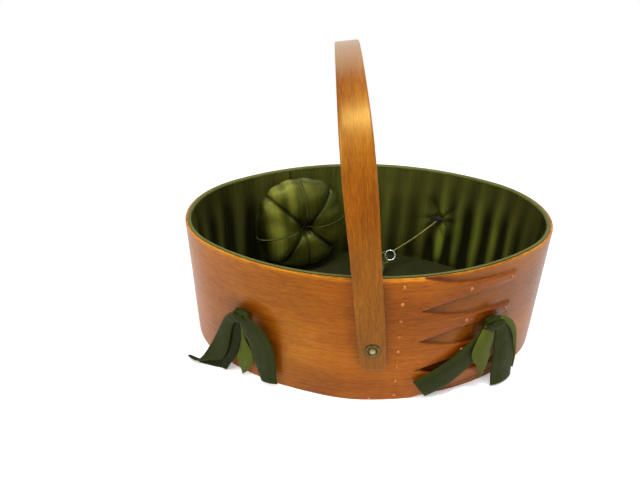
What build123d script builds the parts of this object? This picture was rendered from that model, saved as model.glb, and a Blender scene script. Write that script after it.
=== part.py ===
from build123d import *

import os
from math import acos, asin, atan2, copysign, cos, degrees, pi, radians, sin, sqrt

# Bent-wood oval sewing carrier. Millimetres, +Z up, origin on the table under the oval's centre.
# The long axis is X, and the lap and its fingers are on the -Y side.

# Oval box
length = 280.0
width = 200.0
height = 100.0
end_radius = 76.0
wall = 2.2
board_thickness = 3.4

# Lap of the band, and the swallowtail fingers cut in its end
lap = 1.8
lap_start_x = -52.0
lap_full_x = -10.0
lap_bite = 0.6
finger_count = 4
finger_root_x = 30.5
finger_length = 66.0
finger_tip = 6.8

# Copper tacks and wooden points
tack_head_radius = 1.4
tack_head_height = 0.6
tack_shank_radius = 0.55
tack_seat = 0.02
lap_tack_x = 17.5
lap_tack_count = 8
lap_tack_edge = 4.9
finger_tack_x = (62.0, 91.8)
point_radius = 0.7
point_count = 10
point_bite = 5.0

# Bail handle
pivot_height = 49.0
handle_lean = 6.0
handle_thickness = 3.8
handle_gap = 0.4
handle_foot = 17.8
handle_straight = 70.0
foot_width = 17.0
pivot_width = 18.2
shoulder_width = 19.0
bow_width = 20.4
bow_rise = 58.0
crown_width = 16.6
foot_corner = 3.0

# Brass rivets
shank_radius = 2.0
bore_clearance = 0.05
rivet_head_radius = 2.7
rivet_head_height = 1.4
washer_radius = 5.0
washer_thickness = 0.6
washer_gap = 0.15
burr_radius = 4.5
burr_thickness = 0.7
burr_gap = 0.1
peen_radius = 2.8
peen_height = 0.4

# Lining and floor
seat_gap = 0.3
card_thickness = 0.8
lining_thickness = 1.4
lining_top_drop = 2.2
piping_radius = 1.3
floor_card_thickness = 0.7
floor_pad_thickness = 2.0
layer_gap = 0.1

# Ribbon ties
tie_height = 53.0
tie_hole_radius = 1.6
stem_radius = 1.4
ribbon_width = 12.0
ribbon_thickness = 1.0
ribbon_clear = 0.6
knot_half_length = 6.5
knot_half_height = 4.2
front_tie_x = (-91.6, 82.2)
back_tie_x = (-65.4, 78.0)

# Fittings
cushion_radius = 43.8
cushion_thickness = 32.0
cushion_flat = 15.0
cushion_height = 54.2
cushion_tilt = 9.0
cushion_back_gap = 3.8
thread_width = 0.8
thread_height = 0.7
thread_gap = 0.15
thread_planes = 4
tether_knot_radius = 2.6
tether_diameter = 1.4
ring_radius = 4.7
ring_wire = 0.6
emery_radius = 13.0
emery_length = 33.0
emery_top_radius = 8.0
cap_thickness = 1.4
cap_radius = 10.0
book_size = (42.0, 50.0, 9.0)
book_cover = 1.2
book_margin = 2.0
wax_radius = 16.0
wax_thickness = 11.0
wax_flutes = 10
wax_flute_radius = 2.2

# Where the fittings lie
ring_centre = Vector(29.3, 57.4, 24.0)
cap_centre = Vector(20.5, 47.5, 19.8)
emery_heading = Vector(-0.93, -0.37, 0)
tether_sag = 1.6

# Oval geometry: two end arcs and two side arcs that meet in tangents
half_length = length / 2
half_width = width / 2
end_centre = half_length - end_radius
side_radius = (end_centre**2 + half_width**2 - end_radius**2) / (2 * (half_width - end_radius))
side_centre = side_radius - half_width
join_angle = degrees(atan2(side_centre, end_centre))

# Insets from the band's outside face, and heights of the layers
board_inset = wall + layer_gap
card_inset = wall + seat_gap
lining_inset = card_inset + card_thickness + seat_gap
lining_face = lining_inset + lining_thickness
floor_inset = lining_face + seat_gap
piping_inset = wall + seat_gap + piping_radius
lining_bottom = board_thickness + layer_gap
lining_top = height - lining_top_drop
piping_height = lining_top + seat_gap + piping_radius
pad_bottom = lining_bottom + floor_card_thickness + layer_gap
pad_top = pad_bottom + floor_pad_thickness


def wall_normal(angle):
    return Vector(cos(radians(angle)), sin(radians(angle)), 0)


def wall_point(angle, z, offset=0.0):
    """Point of the band's outside face whose outward normal points along angle."""
    normal = wall_normal(angle)
    if abs(normal.X) > cos(radians(join_angle)):
        centre = Vector(copysign(end_centre, normal.X), 0, z)
        radius = end_radius
    else:
        centre = Vector(0, -copysign(side_centre, normal.Y), z)
        radius = side_radius
    return centre + normal * (radius + offset)


def wall_plane(angle, z, offset=0.0):
    """Plane on the outside face: x to the right, y up, z outward."""
    normal = wall_normal(angle)
    return Plane(
        origin=wall_point(angle, z, offset),
        x_dir=Vector(0, 0, 1).cross(normal),
        z_dir=normal,
    )


def front_angle(x):
    return -degrees(acos(x / side_radius))


def back_angle(x):
    return degrees(acos(x / side_radius))


def oval(inset):
    """The four-arc oval, moved in from the band's outside face."""
    with BuildSketch() as outline:
        with BuildLine():
            CenterArc((end_centre, 0), end_radius - inset, -join_angle, 2 * join_angle)
            CenterArc((0, -side_centre), side_radius - inset, join_angle, 180 - 2 * join_angle)
            CenterArc((-end_centre, 0), end_radius - inset, 180 - join_angle, 2 * join_angle)
            CenterArc((0, side_centre), side_radius - inset, 180 + join_angle, 180 - 2 * join_angle)
        make_face()
    return outline.sketch


def oval_ring(outer_inset, inner_inset, bottom, top):
    """Upright wall that follows the oval."""
    with BuildPart() as ring:
        with BuildSketch(Plane.XY.offset(bottom)):
            add(oval(outer_inset))
            add(oval(inner_inset), mode=Mode.SUBTRACT)
        extrude(amount=top - bottom)
    return ring.part


def turned(profile):
    """Solid turned about Z from (radius, height) points, the first and last on the axis."""
    with BuildPart() as turning:
        with BuildSketch(Plane.XZ):
            with BuildLine():
                Polyline(*profile, close=True)
            make_face()
        revolve(axis=Axis.Z)
    return turning.part


def domed(radius, dome_height, base):
    """Spherical cap of the given foot radius, standing on the plane z = base."""
    sphere_radius = (radius**2 + dome_height**2) / (2 * dome_height)
    half_turn = asin(radius / sphere_radius) / 2
    centre_z = base + dome_height - sphere_radius
    middle = (sphere_radius * sin(half_turn), centre_z + sphere_radius * cos(half_turn))
    with BuildPart() as head:
        with BuildSketch(Plane.XZ):
            with BuildLine():
                Line((0, base), (radius, base))
                ThreePointArc((radius, base), middle, (0, base + dome_height))
                Line((0, base + dome_height), (0, base))
            make_face()
        revolve(axis=Axis.Z)
    return head.part


# Lap: a second layer on the front wall that thins out to the left and ends in fingers
finger_pitch = height / finger_count
tip_x = finger_root_x + finger_length
notch_gap = (finger_pitch - finger_tip) / 2


def side_point(x, radius):
    return (x, side_centre - sqrt(radius**2 - x**2))


def side_tangent(x, radius):
    return (sqrt(radius**2 - x**2), x)


with BuildPart() as lap_layer:
    with BuildSketch():
        outer_radius = side_radius + lap
        inner_radius = side_radius - lap_bite
        middle_x = (lap_full_x + tip_x) / 2
        with BuildLine():
            Spline(
                side_point(lap_start_x, side_radius),
                side_point(lap_full_x, outer_radius),
                tangents=[
                    side_tangent(lap_start_x, side_radius),
                    side_tangent(lap_full_x, outer_radius),
                ],
            )
            ThreePointArc(
                side_point(lap_full_x, outer_radius),
                side_point(middle_x, outer_radius),
                side_point(tip_x, outer_radius),
            )
            Line(side_point(tip_x, outer_radius), side_point(tip_x, inner_radius))
            ThreePointArc(
                side_point(tip_x, inner_radius),
                side_point(0, inner_radius),
                side_point(lap_start_x, inner_radius),
            )
            Line(side_point(lap_start_x, inner_radius), side_point(lap_start_x, side_radius))
        make_face()
    extrude(amount=height)
    for boundary in range(finger_count + 1):
        notch_origin = (finger_root_x, 0, boundary * finger_pitch)
        with BuildSketch(Plane(origin=notch_origin, x_dir=(1, 0, 0), z_dir=(0, -1, 0))):
            with BuildLine():
                upper = Spline(
                    (0, 0),
                    (0.38 * finger_length, 0.68 * notch_gap),
                    (finger_length + 1, notch_gap),
                    tangents=[(1, 0.3), (1, 0.04)],
                )
                lower = Spline(
                    (0, 0),
                    (0.38 * finger_length, -0.68 * notch_gap),
                    (finger_length + 1, -notch_gap),
                    tangents=[(1, -0.3), (1, -0.04)],
                )
                Line(upper @ 1, lower @ 1)
            make_face()
        extrude(amount=width, mode=Mode.SUBTRACT)

# Band with its lap, rivet holes and tie holes
tie_angles = [front_angle(x) for x in front_tie_x] + [back_angle(x) for x in back_tie_x]
tie_planes = [wall_plane(angle, tie_height) for angle in tie_angles]
pivot_plane = Plane(origin=(0, 0, pivot_height), z_dir=(0, 1, 0))

with BuildPart() as band:
    add(oval_ring(0, wall, 0, height))
    add(lap_layer.part)
    with Locations(pivot_plane):
        Cylinder(shank_radius + bore_clearance, width + 4 * lap, mode=Mode.SUBTRACT)
    with Locations(*tie_planes):
        Cylinder(tie_hole_radius, 4 * wall, mode=Mode.SUBTRACT)
band.part.label = "band"

# Oval bottom board inside the band
with BuildPart() as bottom_board:
    with BuildSketch():
        add(oval(board_inset))
    extrude(amount=board_thickness)
bottom_board.part.label = "bottom_board"

# Copper tacks, clinched flush inside the band
tack_shank = lap + wall - layer_gap
tack = turned(
    [
        (0, -tack_shank),
        (tack_shank_radius, -tack_shank),
        (tack_shank_radius, 0),
        (tack_head_radius, 0),
        (tack_head_radius * 0.8, tack_head_height * 0.7),
        (0, tack_head_height),
    ]
)
tack_step = (height - 2 * lap_tack_edge) / (lap_tack_count - 1)

with BuildPart() as lap_tacks:
    for index in range(lap_tack_count):
        tack_z = lap_tack_edge + index * tack_step
        with Locations(wall_plane(front_angle(lap_tack_x), tack_z, lap + tack_seat)):
            add(tack)
lap_tacks.part.label = "lap_tacks"

with BuildPart() as finger_tacks:
    for finger in range(finger_count):
        for tack_x in finger_tack_x:
            finger_z = (finger + 0.5) * finger_pitch
            with Locations(wall_plane(front_angle(tack_x), finger_z, lap + tack_seat)):
                add(tack)
finger_tacks.part.label = "finger_tacks"

# Wooden points through the band into the edge of the board
with BuildPart() as bottom_points:
    for index in range(point_count):
        point_angle = -90 + index * 360 / point_count
        cover = lap if index == 0 else 0
        with Locations(wall_plane(point_angle, board_thickness / 2, cover + layer_gap)):
            Cylinder(
                point_radius,
                cover + wall + point_bite,
                align=(Align.CENTER, Align.CENTER, Align.MAX),
            )
bottom_points.part.label = "bottom_points"

# Handle: a bent strip that leans to the left on its two rivets
handle_centre_y = -lap / 2
inner_span = half_width + lap / 2 + handle_gap
outer_span = inner_span + handle_thickness
handle_up = Vector(-sin(radians(handle_lean)), 0, cos(radians(handle_lean)))
handle_across = Vector(cos(radians(handle_lean)), 0, sin(radians(handle_lean)))
pivot = Vector(0, handle_centre_y, pivot_height)
crown = handle_straight + outer_span

with BuildPart() as handle:
    with BuildSketch(Plane(origin=pivot, x_dir=(0, 1, 0), z_dir=handle_across)):
        with BuildLine():
            Line((-outer_span, -handle_foot), (-outer_span, handle_straight))
            CenterArc((0, handle_straight), outer_span, 0, 180)
            Line((outer_span, handle_straight), (outer_span, -handle_foot))
            Line((outer_span, -handle_foot), (inner_span, -handle_foot))
            Line((inner_span, -handle_foot), (inner_span, handle_straight))
            CenterArc((0, handle_straight), inner_span, 0, 180)
            Line((-inner_span, handle_straight), (-inner_span, -handle_foot))
            Line((-inner_span, -handle_foot), (-outer_span, -handle_foot))
        make_face()
    extrude(amount=bow_width, both=True)
    with BuildSketch(Plane(origin=pivot, x_dir=handle_across, z_dir=(0, -1, 0))) as outline:
        with BuildLine():
            right = Spline(
                (foot_width / 2, -handle_foot),
                (pivot_width / 2, 0),
                (shoulder_width / 2, handle_straight),
                (bow_width / 2, handle_straight + bow_rise),
                (crown_width / 2, crown + 1),
                tangents=[(0.08, 1), (-0.08, 1)],
            )
            left = Spline(
                (-foot_width / 2, -handle_foot),
                (-pivot_width / 2, 0),
                (-shoulder_width / 2, handle_straight),
                (-bow_width / 2, handle_straight + bow_rise),
                (-crown_width / 2, crown + 1),
                tangents=[(-0.08, 1), (0.08, 1)],
            )
            Line(right @ 0, left @ 0)
            Line(right @ 1, left @ 1)
        make_face()
        fillet(outline.vertices().group_by(Axis.Z)[0], foot_corner)
    extrude(amount=width, both=True, mode=Mode.INTERSECT)
    with Locations(pivot_plane):
        Cylinder(shank_radius + bore_clearance, width + 8 * handle_thickness, mode=Mode.SUBTRACT)
handle.part.label = "handle"


def rivet_solid(cover):
    """Rivet along Z, with z = 0 on the band's outside face and cover for a lap there."""
    head_base = cover + handle_gap + handle_thickness + washer_gap + washer_thickness
    inner_end = -(wall + burr_gap + burr_thickness)
    shank_length = head_base - inner_end
    with BuildPart() as solid:
        with Locations((0, 0, inner_end)):
            Cylinder(shank_radius, shank_length, align=(Align.CENTER, Align.CENTER, Align.MIN))
            Cylinder(peen_radius, peen_height, align=(Align.CENTER, Align.CENTER, Align.MAX))
        add(domed(rivet_head_radius, rivet_head_height, head_base))
    return solid.part


def washer_solid(radius, thickness, base):
    with BuildPart() as solid:
        with Locations((0, 0, base)):
            Cylinder(radius, thickness, align=(Align.CENTER, Align.CENTER, Align.MIN))
            Cylinder(
                shank_radius + bore_clearance,
                thickness,
                align=(Align.CENTER, Align.CENTER, Align.MIN),
                mode=Mode.SUBTRACT,
            )
    return solid.part


# Rivets, with a washer under each head and a burr inside the band
front_pivot = wall_plane(-90, pivot_height)
back_pivot = wall_plane(90, pivot_height)
front_washer_base = lap + handle_gap + handle_thickness + washer_gap
back_washer_base = handle_gap + handle_thickness + washer_gap
burr_base = -(wall + burr_gap + burr_thickness)

with BuildPart() as front_rivet:
    with Locations(front_pivot):
        add(rivet_solid(lap))
front_rivet.part.label = "front_rivet"

with BuildPart() as back_rivet:
    with Locations(back_pivot):
        add(rivet_solid(0))
back_rivet.part.label = "back_rivet"

with BuildPart() as front_washer:
    with Locations(front_pivot):
        add(washer_solid(washer_radius, washer_thickness, front_washer_base))
front_washer.part.label = "front_washer"

with BuildPart() as back_washer:
    with Locations(back_pivot):
        add(washer_solid(washer_radius, washer_thickness, back_washer_base))
back_washer.part.label = "back_washer"

with BuildPart() as front_burr:
    with Locations(front_pivot):
        add(washer_solid(burr_radius, burr_thickness, burr_base))
front_burr.part.label = "front_burr"

with BuildPart() as back_burr:
    with Locations(back_pivot):
        add(washer_solid(burr_radius, burr_thickness, burr_base))
back_burr.part.label = "back_burr"

# Lining: card behind, satin in front, a rolled edge on top
with BuildPart() as lining_card:
    add(oval_ring(card_inset, card_inset + card_thickness, lining_bottom, lining_top))
    with Locations(pivot_plane):
        Cylinder(burr_radius + seat_gap, width, mode=Mode.SUBTRACT)
    with Locations(*tie_planes):
        Cylinder(tie_hole_radius, 8 * wall, mode=Mode.SUBTRACT)
lining_card.part.label = "lining_card"

with BuildPart() as side_lining:
    add(oval_ring(lining_inset, lining_face, lining_bottom, lining_top))
    with Locations(*tie_planes):
        Cylinder(tie_hole_radius, 8 * wall, mode=Mode.SUBTRACT)
side_lining.part.label = "side_lining"

with BuildPart() as rim_piping:
    add(
        oval_ring(
            piping_inset - piping_radius,
            piping_inset + piping_radius,
            piping_height - piping_radius,
            piping_height + piping_radius,
        )
    )
    fillet(rim_piping.edges().group_by(Axis.Z)[-1], piping_radius * 0.8)
rim_piping.part.label = "rim_piping"

with BuildPart() as floor_card:
    with BuildSketch(Plane.XY.offset(lining_bottom)):
        add(oval(floor_inset))
    extrude(amount=floor_card_thickness)
floor_card.part.label = "floor_card"

with BuildPart() as floor_pad:
    with BuildSketch(Plane.XY.offset(pad_bottom)):
        add(oval(floor_inset))
    extrude(amount=floor_pad_thickness)
    fillet(floor_pad.edges().group_by(Axis.Z)[-1], floor_pad_thickness * 0.4)
floor_pad.part.label = "floor_pad"

# Pincushion: a stuffed round that leans back against the lining
cushion_angle = back_angle(back_tie_x[0])
cushion_offset = -(lining_face + cushion_back_gap + cushion_thickness / 2)
cushion_centre = wall_point(cushion_angle, cushion_height, cushion_offset)
cushion_right = Vector(0, 0, 1).cross(wall_normal(cushion_angle)) * -1
cushion_axis = (
    wall_normal(cushion_angle) * -cos(radians(cushion_tilt))
    + Vector(0, 0, 1) * sin(radians(cushion_tilt))
)


def cushion_outline(grow):
    """Closed side view of the pincushion, grown outward, with its axis along y."""
    half = cushion_thickness / 2 + grow
    reach = cushion_radius - cushion_flat + grow
    with BuildSketch() as side_view:
        with BuildLine():
            Line((-cushion_flat, half), (cushion_flat, half))
            EllipticalCenterArc((cushion_flat, 0), reach, half, start_angle=-90, arc_size=180)
            Line((cushion_flat, -half), (-cushion_flat, -half))
            EllipticalCenterArc((-cushion_flat, 0), reach, half, start_angle=90, arc_size=180)
        make_face()
    return side_view.sketch


cushion_plane = Plane(origin=cushion_centre, x_dir=cushion_right, z_dir=cushion_axis)

with BuildPart() as cushion_body:
    with BuildSketch(Plane.XZ):
        add(cushion_outline(0))
        split(bisect_by=Plane.YZ, keep=Keep.TOP)
    revolve(axis=Axis.Z)

with BuildPart() as cushion_cage:
    for index in range(thread_planes):
        turn = radians(3 + index * 180 / thread_planes)
        spoke = Vector(cos(turn), sin(turn), 0)
        with BuildSketch(Plane(origin=(0, 0, 0), x_dir=spoke, z_dir=spoke.cross(Vector(0, 0, 1)))):
            add(cushion_outline(thread_gap + thread_height))
            add(cushion_outline(thread_gap), mode=Mode.SUBTRACT)
        extrude(amount=thread_width / 2, both=True)

with BuildPart() as pincushion:
    with Locations(cushion_plane):
        add(cushion_body.part)
pincushion.part.label = "pincushion"

with BuildPart() as pincushion_threads:
    with Locations(cushion_plane):
        add(cushion_cage.part)
pincushion_threads.part.label = "pincushion_threads"


def ribbon_tail(angle, start_drop, offset, spread, end_z, flare, tail_width):
    """Tail that runs from the knot down the wall to end_z, spread sideways along the oval."""
    end_angle = angle + degrees(spread / side_radius)
    middle = wall_normal((angle + end_angle) / 2)
    start = wall_point(angle, tie_height - start_drop, offset)
    end = wall_point(end_angle, end_z, offset + flare)
    run = end - start
    span = run.length
    bow = ribbon_thickness + span**2 / 8 / side_radius
    half = ribbon_thickness / 2
    with BuildPart() as tail:
        with BuildSketch(Plane(origin=start, x_dir=run, z_dir=run.cross(middle))):
            with BuildLine():
                ThreePointArc((0, -half), (span / 2, bow - half), (span, -half))
                Line((span, -half), (span, half))
                ThreePointArc((span, half), (span / 2, bow + half), (0, half))
                Line((0, half), (0, -half))
            make_face()
        extrude(amount=tail_width / 2, both=True)
    return tail.part


def ribbon(angle, cover, stem_end, tails):
    """Knot outside the wall, its stem through the wall, and its tails."""
    knot_offset = cover + ribbon_clear + knot_half_height
    knot_plane = wall_plane(angle, tie_height, knot_offset)
    with BuildPart() as piece:
        with Locations(knot_plane):
            Cylinder(knot_half_height, 2 * knot_half_length, rotation=(0, 90, 0))
        fillet(piece.edges().filter_by(GeomType.CIRCLE), knot_half_height * 0.8)
        with Locations(knot_plane):
            Cylinder(
                stem_radius,
                knot_offset + stem_end,
                align=(Align.CENTER, Align.CENTER, Align.MAX),
            )
        for spread, end_z, flare, tail_width in tails:
            base = cover + ribbon_clear + ribbon_thickness
            add(ribbon_tail(angle, 0, base, spread, end_z, flare, tail_width))
    return piece.part


# Needle book and beeswax stand against the front wall, below the rim
book_back = lining_face + seat_gap + book_size[0] ** 2 / 8 / (side_radius - lining_face)
wax_back = lining_face + seat_gap + wax_radius**2 / 2 / (side_radius - lining_face)
book_angle = front_angle(front_tie_x[0])
wax_angle = front_angle(front_tie_x[1])
book_plane = wall_plane(book_angle, tie_height, -book_back)
wax_plane = wall_plane(wax_angle, tie_height, -wax_back)
cover_inner = book_size[2] - 2 * book_cover

with BuildPart() as needle_book_cover:
    with BuildSketch(book_plane):
        Rectangle(book_size[0], book_size[1])
    extrude(amount=-book_size[2])
    with BuildSketch(book_plane.offset(-book_cover)):
        with Locations((book_cover, 0)):
            Rectangle(book_size[0], book_size[1])
    extrude(amount=-cover_inner, mode=Mode.SUBTRACT)
needle_book_cover.part.label = "needle_book_cover"

with BuildPart() as needle_book_leaves:
    with BuildSketch(book_plane.offset(-book_cover - layer_gap)):
        with Locations((book_cover / 2, 0)):
            Rectangle(book_size[0] - 2 * book_margin, book_size[1] - 2 * book_margin)
    extrude(amount=-(cover_inner - 2 * layer_gap))
needle_book_leaves.part.label = "needle_book_leaves"

with BuildPart() as beeswax:
    with BuildSketch(wax_plane):
        Circle(wax_radius)
        with PolarLocations(wax_radius + wax_flute_radius * 0.4, wax_flutes):
            Circle(wax_flute_radius, mode=Mode.SUBTRACT)
    extrude(amount=-wax_thickness)
beeswax.part.label = "beeswax"

# Ribbons. Each tail is (spread along the wall, end height, flare from the wall, width).
with BuildPart() as front_left_ribbon:
    add(
        ribbon(
            book_angle,
            0,
            book_back - layer_gap,
            [(-31, 4.2, 13, ribbon_width), (1, 1.8, 3, 9), (25, 4.2, 3, 14)],
        )
    )
front_left_ribbon.part.label = "front_left_ribbon"

with BuildPart() as front_right_ribbon:
    add(
        ribbon(
            wax_angle,
            lap,
            wax_back - layer_gap,
            [(-54, 5.6, 2, ribbon_width), (-4, 1.8, 2, 9), (19, 4.2, 3, 16)],
        )
    )
front_right_ribbon.part.label = "front_right_ribbon"

knot_inset = lining_face + 2 * layer_gap
cushion_stem = lining_face + seat_gap

with BuildPart() as back_left_ribbon:
    add(
        ribbon(
            cushion_angle,
            0,
            cushion_stem,
            [(-16, 4.0, 3, ribbon_width), (14, 4.0, 4, ribbon_width)],
        )
    )
back_left_ribbon.part.label = "back_left_ribbon"

with BuildPart() as back_right_ribbon:
    add(
        ribbon(
            back_angle(back_tie_x[1]),
            0,
            knot_inset,
            [(-14, 4.0, 4, ribbon_width), (18, 4.0, 3, ribbon_width)],
        )
    )
back_right_ribbon.part.label = "back_right_ribbon"

# Tether: knot on the lining, thread, wire ring, and the strawberry emery on the floor
knot_angle = back_angle(back_tie_x[1])
knot_centre = wall_point(knot_angle, tie_height, -(knot_inset + layer_gap + tether_knot_radius))

with BuildPart() as tether_knot:
    with Locations(knot_centre):
        Sphere(tether_knot_radius)
tether_knot.part.label = "tether_knot"

ring_normal = Vector(-0.1, -0.87, 0.5).normalized()
ring_x = Vector(0, 0, 1).cross(ring_normal).normalized()
ring_up = ring_normal.cross(ring_x)
ring_catch = ring_centre + (ring_x * 0.5 + ring_up * 0.87).normalized() * ring_radius

with BuildPart() as tether_ring:
    with Locations(Plane(origin=ring_centre, x_dir=ring_x, z_dir=ring_normal)):
        Torus(ring_radius, ring_wire)
tether_ring.part.label = "tether_ring"

cord_start = knot_centre + (ring_catch - knot_centre).normalized() * (tether_knot_radius * 0.7)
cord_run = ring_catch - cord_start
cord_route = [
    cord_start,
    cord_start + cord_run * 0.3 - Vector(0, 0, tether_sag * 0.8),
    cord_start + cord_run * 0.66 - Vector(0, 0, tether_sag),
    ring_catch,
]


def cord_radii(route):
    """The largest even bend at each inner point of the route."""
    radii = []
    for before, here, after in zip(route, route[1:], route[2:]):
        arriving = here - before
        leaving = after - here
        half_turn = radians(arriving.get_angle(leaving)) / 2
        shorter = min(arriving.length, leaving.length)
        radii.append(0.45 * shorter / (sin(half_turn) / cos(half_turn)))
    return radii


tether_radii = cord_radii(cord_route)
print("tether bend radii", [round(radius, 1) for radius in tether_radii])

with BuildPart() as tether_cord:
    with BuildLine() as tether_path:
        FilletPolyline(*cord_route, radius=tether_radii)
    with BuildSketch(Plane(origin=tether_path.line @ 0, z_dir=tether_path.line % 0)):
        Circle(tether_diameter / 2)
    sweep(path=tether_path.line)
tether_length = tether_path.wires()[0].length
tether_section = pi * tether_diameter**2 / 4
print("tether length", round(tether_length, 1))
tether_share = tether_cord.part.volume / (tether_section * tether_length)
print("tether volume over section times length", round(tether_share, 4))
tether_cord.part.label = "tether_cord"

emery_axis = emery_heading.normalized()
cap_plane = Plane(origin=cap_centre, x_dir=(0, 0, 1), z_dir=emery_axis)

with BuildPart() as emery_body:
    with BuildSketch(Plane.XZ):
        with BuildLine():
            Line((0, 0), (emery_top_radius, 0))
            Spline(
                (emery_top_radius, 0),
                (emery_radius, emery_length * 0.3),
                (0, emery_length),
                tangents=[(1, 0.25), (-1, 0.25)],
            )
            Line((0, emery_length), (0, 0))
        make_face()
    revolve(axis=Axis.Z)

with BuildPart() as emery:
    with Locations(cap_plane):
        add(emery_body.part)
emery.part.label = "emery"

with BuildPart() as emery_cap:
    with Locations(cap_plane.offset(-layer_gap)):
        Cylinder(cap_radius, cap_thickness, align=(Align.CENTER, Align.CENTER, Align.MAX))
        Cylinder(cap_thickness, cap_thickness * 3, align=(Align.CENTER, Align.CENTER, Align.MAX))
emery_cap.part.label = "emery_cap"

pieces = [
    band,
    bottom_board,
    lap_tacks,
    finger_tacks,
    bottom_points,
    handle,
    front_rivet,
    back_rivet,
    front_washer,
    back_washer,
    front_burr,
    back_burr,
    lining_card,
    side_lining,
    rim_piping,
    floor_card,
    floor_pad,
    pincushion,
    pincushion_threads,
    front_left_ribbon,
    front_right_ribbon,
    back_left_ribbon,
    back_right_ribbon,
    tether_knot,
    tether_cord,
    tether_ring,
    emery_cap,
    emery,
    needle_book_cover,
    needle_book_leaves,
    beeswax,
]

os.makedirs("parts", exist_ok=True)
for piece in pieces:
    export_step(piece.part, f"parts/{piece.part.label}.step")
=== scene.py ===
"""Looks of an oval sewing carrier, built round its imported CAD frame. Metres, +Z up."""

from math import asin, atan2, cos, pi, radians, sin

import bmesh
import bpy
import numpy as np
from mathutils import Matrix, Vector
from mathutils.bvhtree import BVHTree


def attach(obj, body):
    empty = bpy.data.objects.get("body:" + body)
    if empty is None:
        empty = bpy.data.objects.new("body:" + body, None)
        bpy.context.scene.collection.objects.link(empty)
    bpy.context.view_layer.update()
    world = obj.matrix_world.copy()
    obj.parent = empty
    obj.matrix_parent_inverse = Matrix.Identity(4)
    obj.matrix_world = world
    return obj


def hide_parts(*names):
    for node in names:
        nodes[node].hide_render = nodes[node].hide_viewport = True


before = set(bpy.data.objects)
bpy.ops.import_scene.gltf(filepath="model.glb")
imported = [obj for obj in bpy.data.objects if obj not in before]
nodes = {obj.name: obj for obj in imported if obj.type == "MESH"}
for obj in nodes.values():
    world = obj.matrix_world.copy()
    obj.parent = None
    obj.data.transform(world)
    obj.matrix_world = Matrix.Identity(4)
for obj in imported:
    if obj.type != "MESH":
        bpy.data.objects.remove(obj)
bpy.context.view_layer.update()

# ---------------------------------------------------------------- sizes, as in the CAD
HALF_LENGTH = 0.140
HALF_WIDTH = 0.100
HEIGHT = 0.100
END_RADIUS = 0.076
WALL = 0.0022
LAP = 0.0018
LAP_START_X, LAP_FULL_X = -0.052, -0.010
FINGER_ROOT_X, FINGER_LENGTH = 0.0305, 0.066
FINGER_COUNT, FINGER_TIP = 4, 0.0068
FLOOR_INSET = 0.0053
PAD_BOTTOM, PAD_TOP = 0.0043, 0.0063
LINING_FOOT, LINING_TOP = 0.0040, 0.0985
PIVOT_HEIGHT = 0.049
HANDLE_LEAN = radians(6)
HANDLE_THICKNESS = 0.0038
HANDLE_FOOT, HANDLE_STRAIGHT = 0.0178, 0.070
INNER_SPAN = HALF_WIDTH + LAP / 2 + 0.0004
TIE_HEIGHT = 0.053
LINING_SEAM = 0.4475
MM = 0.001

END_CENTRE = HALF_LENGTH - END_RADIUS
SIDE_RADIUS = (END_CENTRE**2 + HALF_WIDTH**2 - END_RADIUS**2) / (2 * (HALF_WIDTH - END_RADIUS))
SIDE_CENTRE = SIDE_RADIUS - HALF_WIDTH
JOIN = atan2(SIDE_CENTRE, END_CENTRE)
SIDE_HALF = SIDE_RADIUS * (pi / 2 - JOIN)
END_ARC = END_RADIUS * 2 * JOIN
PERIMETER = 4 * SIDE_HALF + 2 * END_ARC
BACK_MIDDLE = PERIMETER / 2


# ---------------------------------------------------------------- geometry helpers
def wall(s, z, out):
    """Points at arc length s from the front middle, anticlockwise, out from the band's face."""
    s, z, out = np.broadcast_arrays(np.mod(s, PERIMETER), z, out)
    starts = np.array([0, SIDE_HALF, SIDE_HALF + END_ARC, 3 * SIDE_HALF + END_ARC])
    starts = np.append(starts, 3 * SIDE_HALF + 2 * END_ARC)
    first_angles = np.array([-pi / 2, -JOIN, JOIN, pi - JOIN, pi + JOIN])
    radii = np.array([SIDE_RADIUS, END_RADIUS, SIDE_RADIUS, END_RADIUS, SIDE_RADIUS])
    centres_x = np.array([0, END_CENTRE, 0, -END_CENTRE, 0])
    centres_y = np.array([SIDE_CENTRE, 0, -SIDE_CENTRE, 0, SIDE_CENTRE])
    arc = np.searchsorted(starts, s, side="right") - 1
    angle = first_angles[arc] + (s - starts[arc]) / radii[arc]
    reach = radii[arc] + out
    return np.stack(
        [centres_x[arc] + reach * np.cos(angle), centres_y[arc] + reach * np.sin(angle), z], -1
    )


def front_s(x):
    return SIDE_RADIUS * asin(x / SIDE_RADIUS)


def back_s(x):
    return BACK_MIDDLE - SIDE_RADIUS * asin(x / SIDE_RADIUS)


def smooth(low, high, value):
    t = np.clip((value - low) / (high - low), 0, 1)
    return t * t * (3 - 2 * t)


def bell(value, width):
    """1 where value is 0, falling smoothly towards 0 beyond width on both sides."""
    return np.exp(-((value / width) ** 2))


def wander(x, y=0.0, seed=0, octaves=3):
    """Smooth noise from -1 to 1, made of sines whose directions follow from seed."""
    random = np.random.default_rng(seed)
    total = 0
    for octave in range(octaves):
        for _ in range(4):
            turn, phase = random.uniform(0, 2 * pi, 2)
            pitch = 2**octave * random.uniform(0.7, 1.3)
            total = total + np.sin(pitch * (x * np.cos(turn) + y * np.sin(turn)) + phase) / 2**octave / 4
    return total


def full_turn(count):
    """count angles evenly spaced round a full turn, without its end."""
    return np.linspace(0, 2 * pi, count, endpoint=False)


def uv_grid(rows, columns):
    """Both values at every crossing of the rows and columns."""
    return np.stack(np.meshgrid(rows, columns, indexing="ij"), -1)


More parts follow.
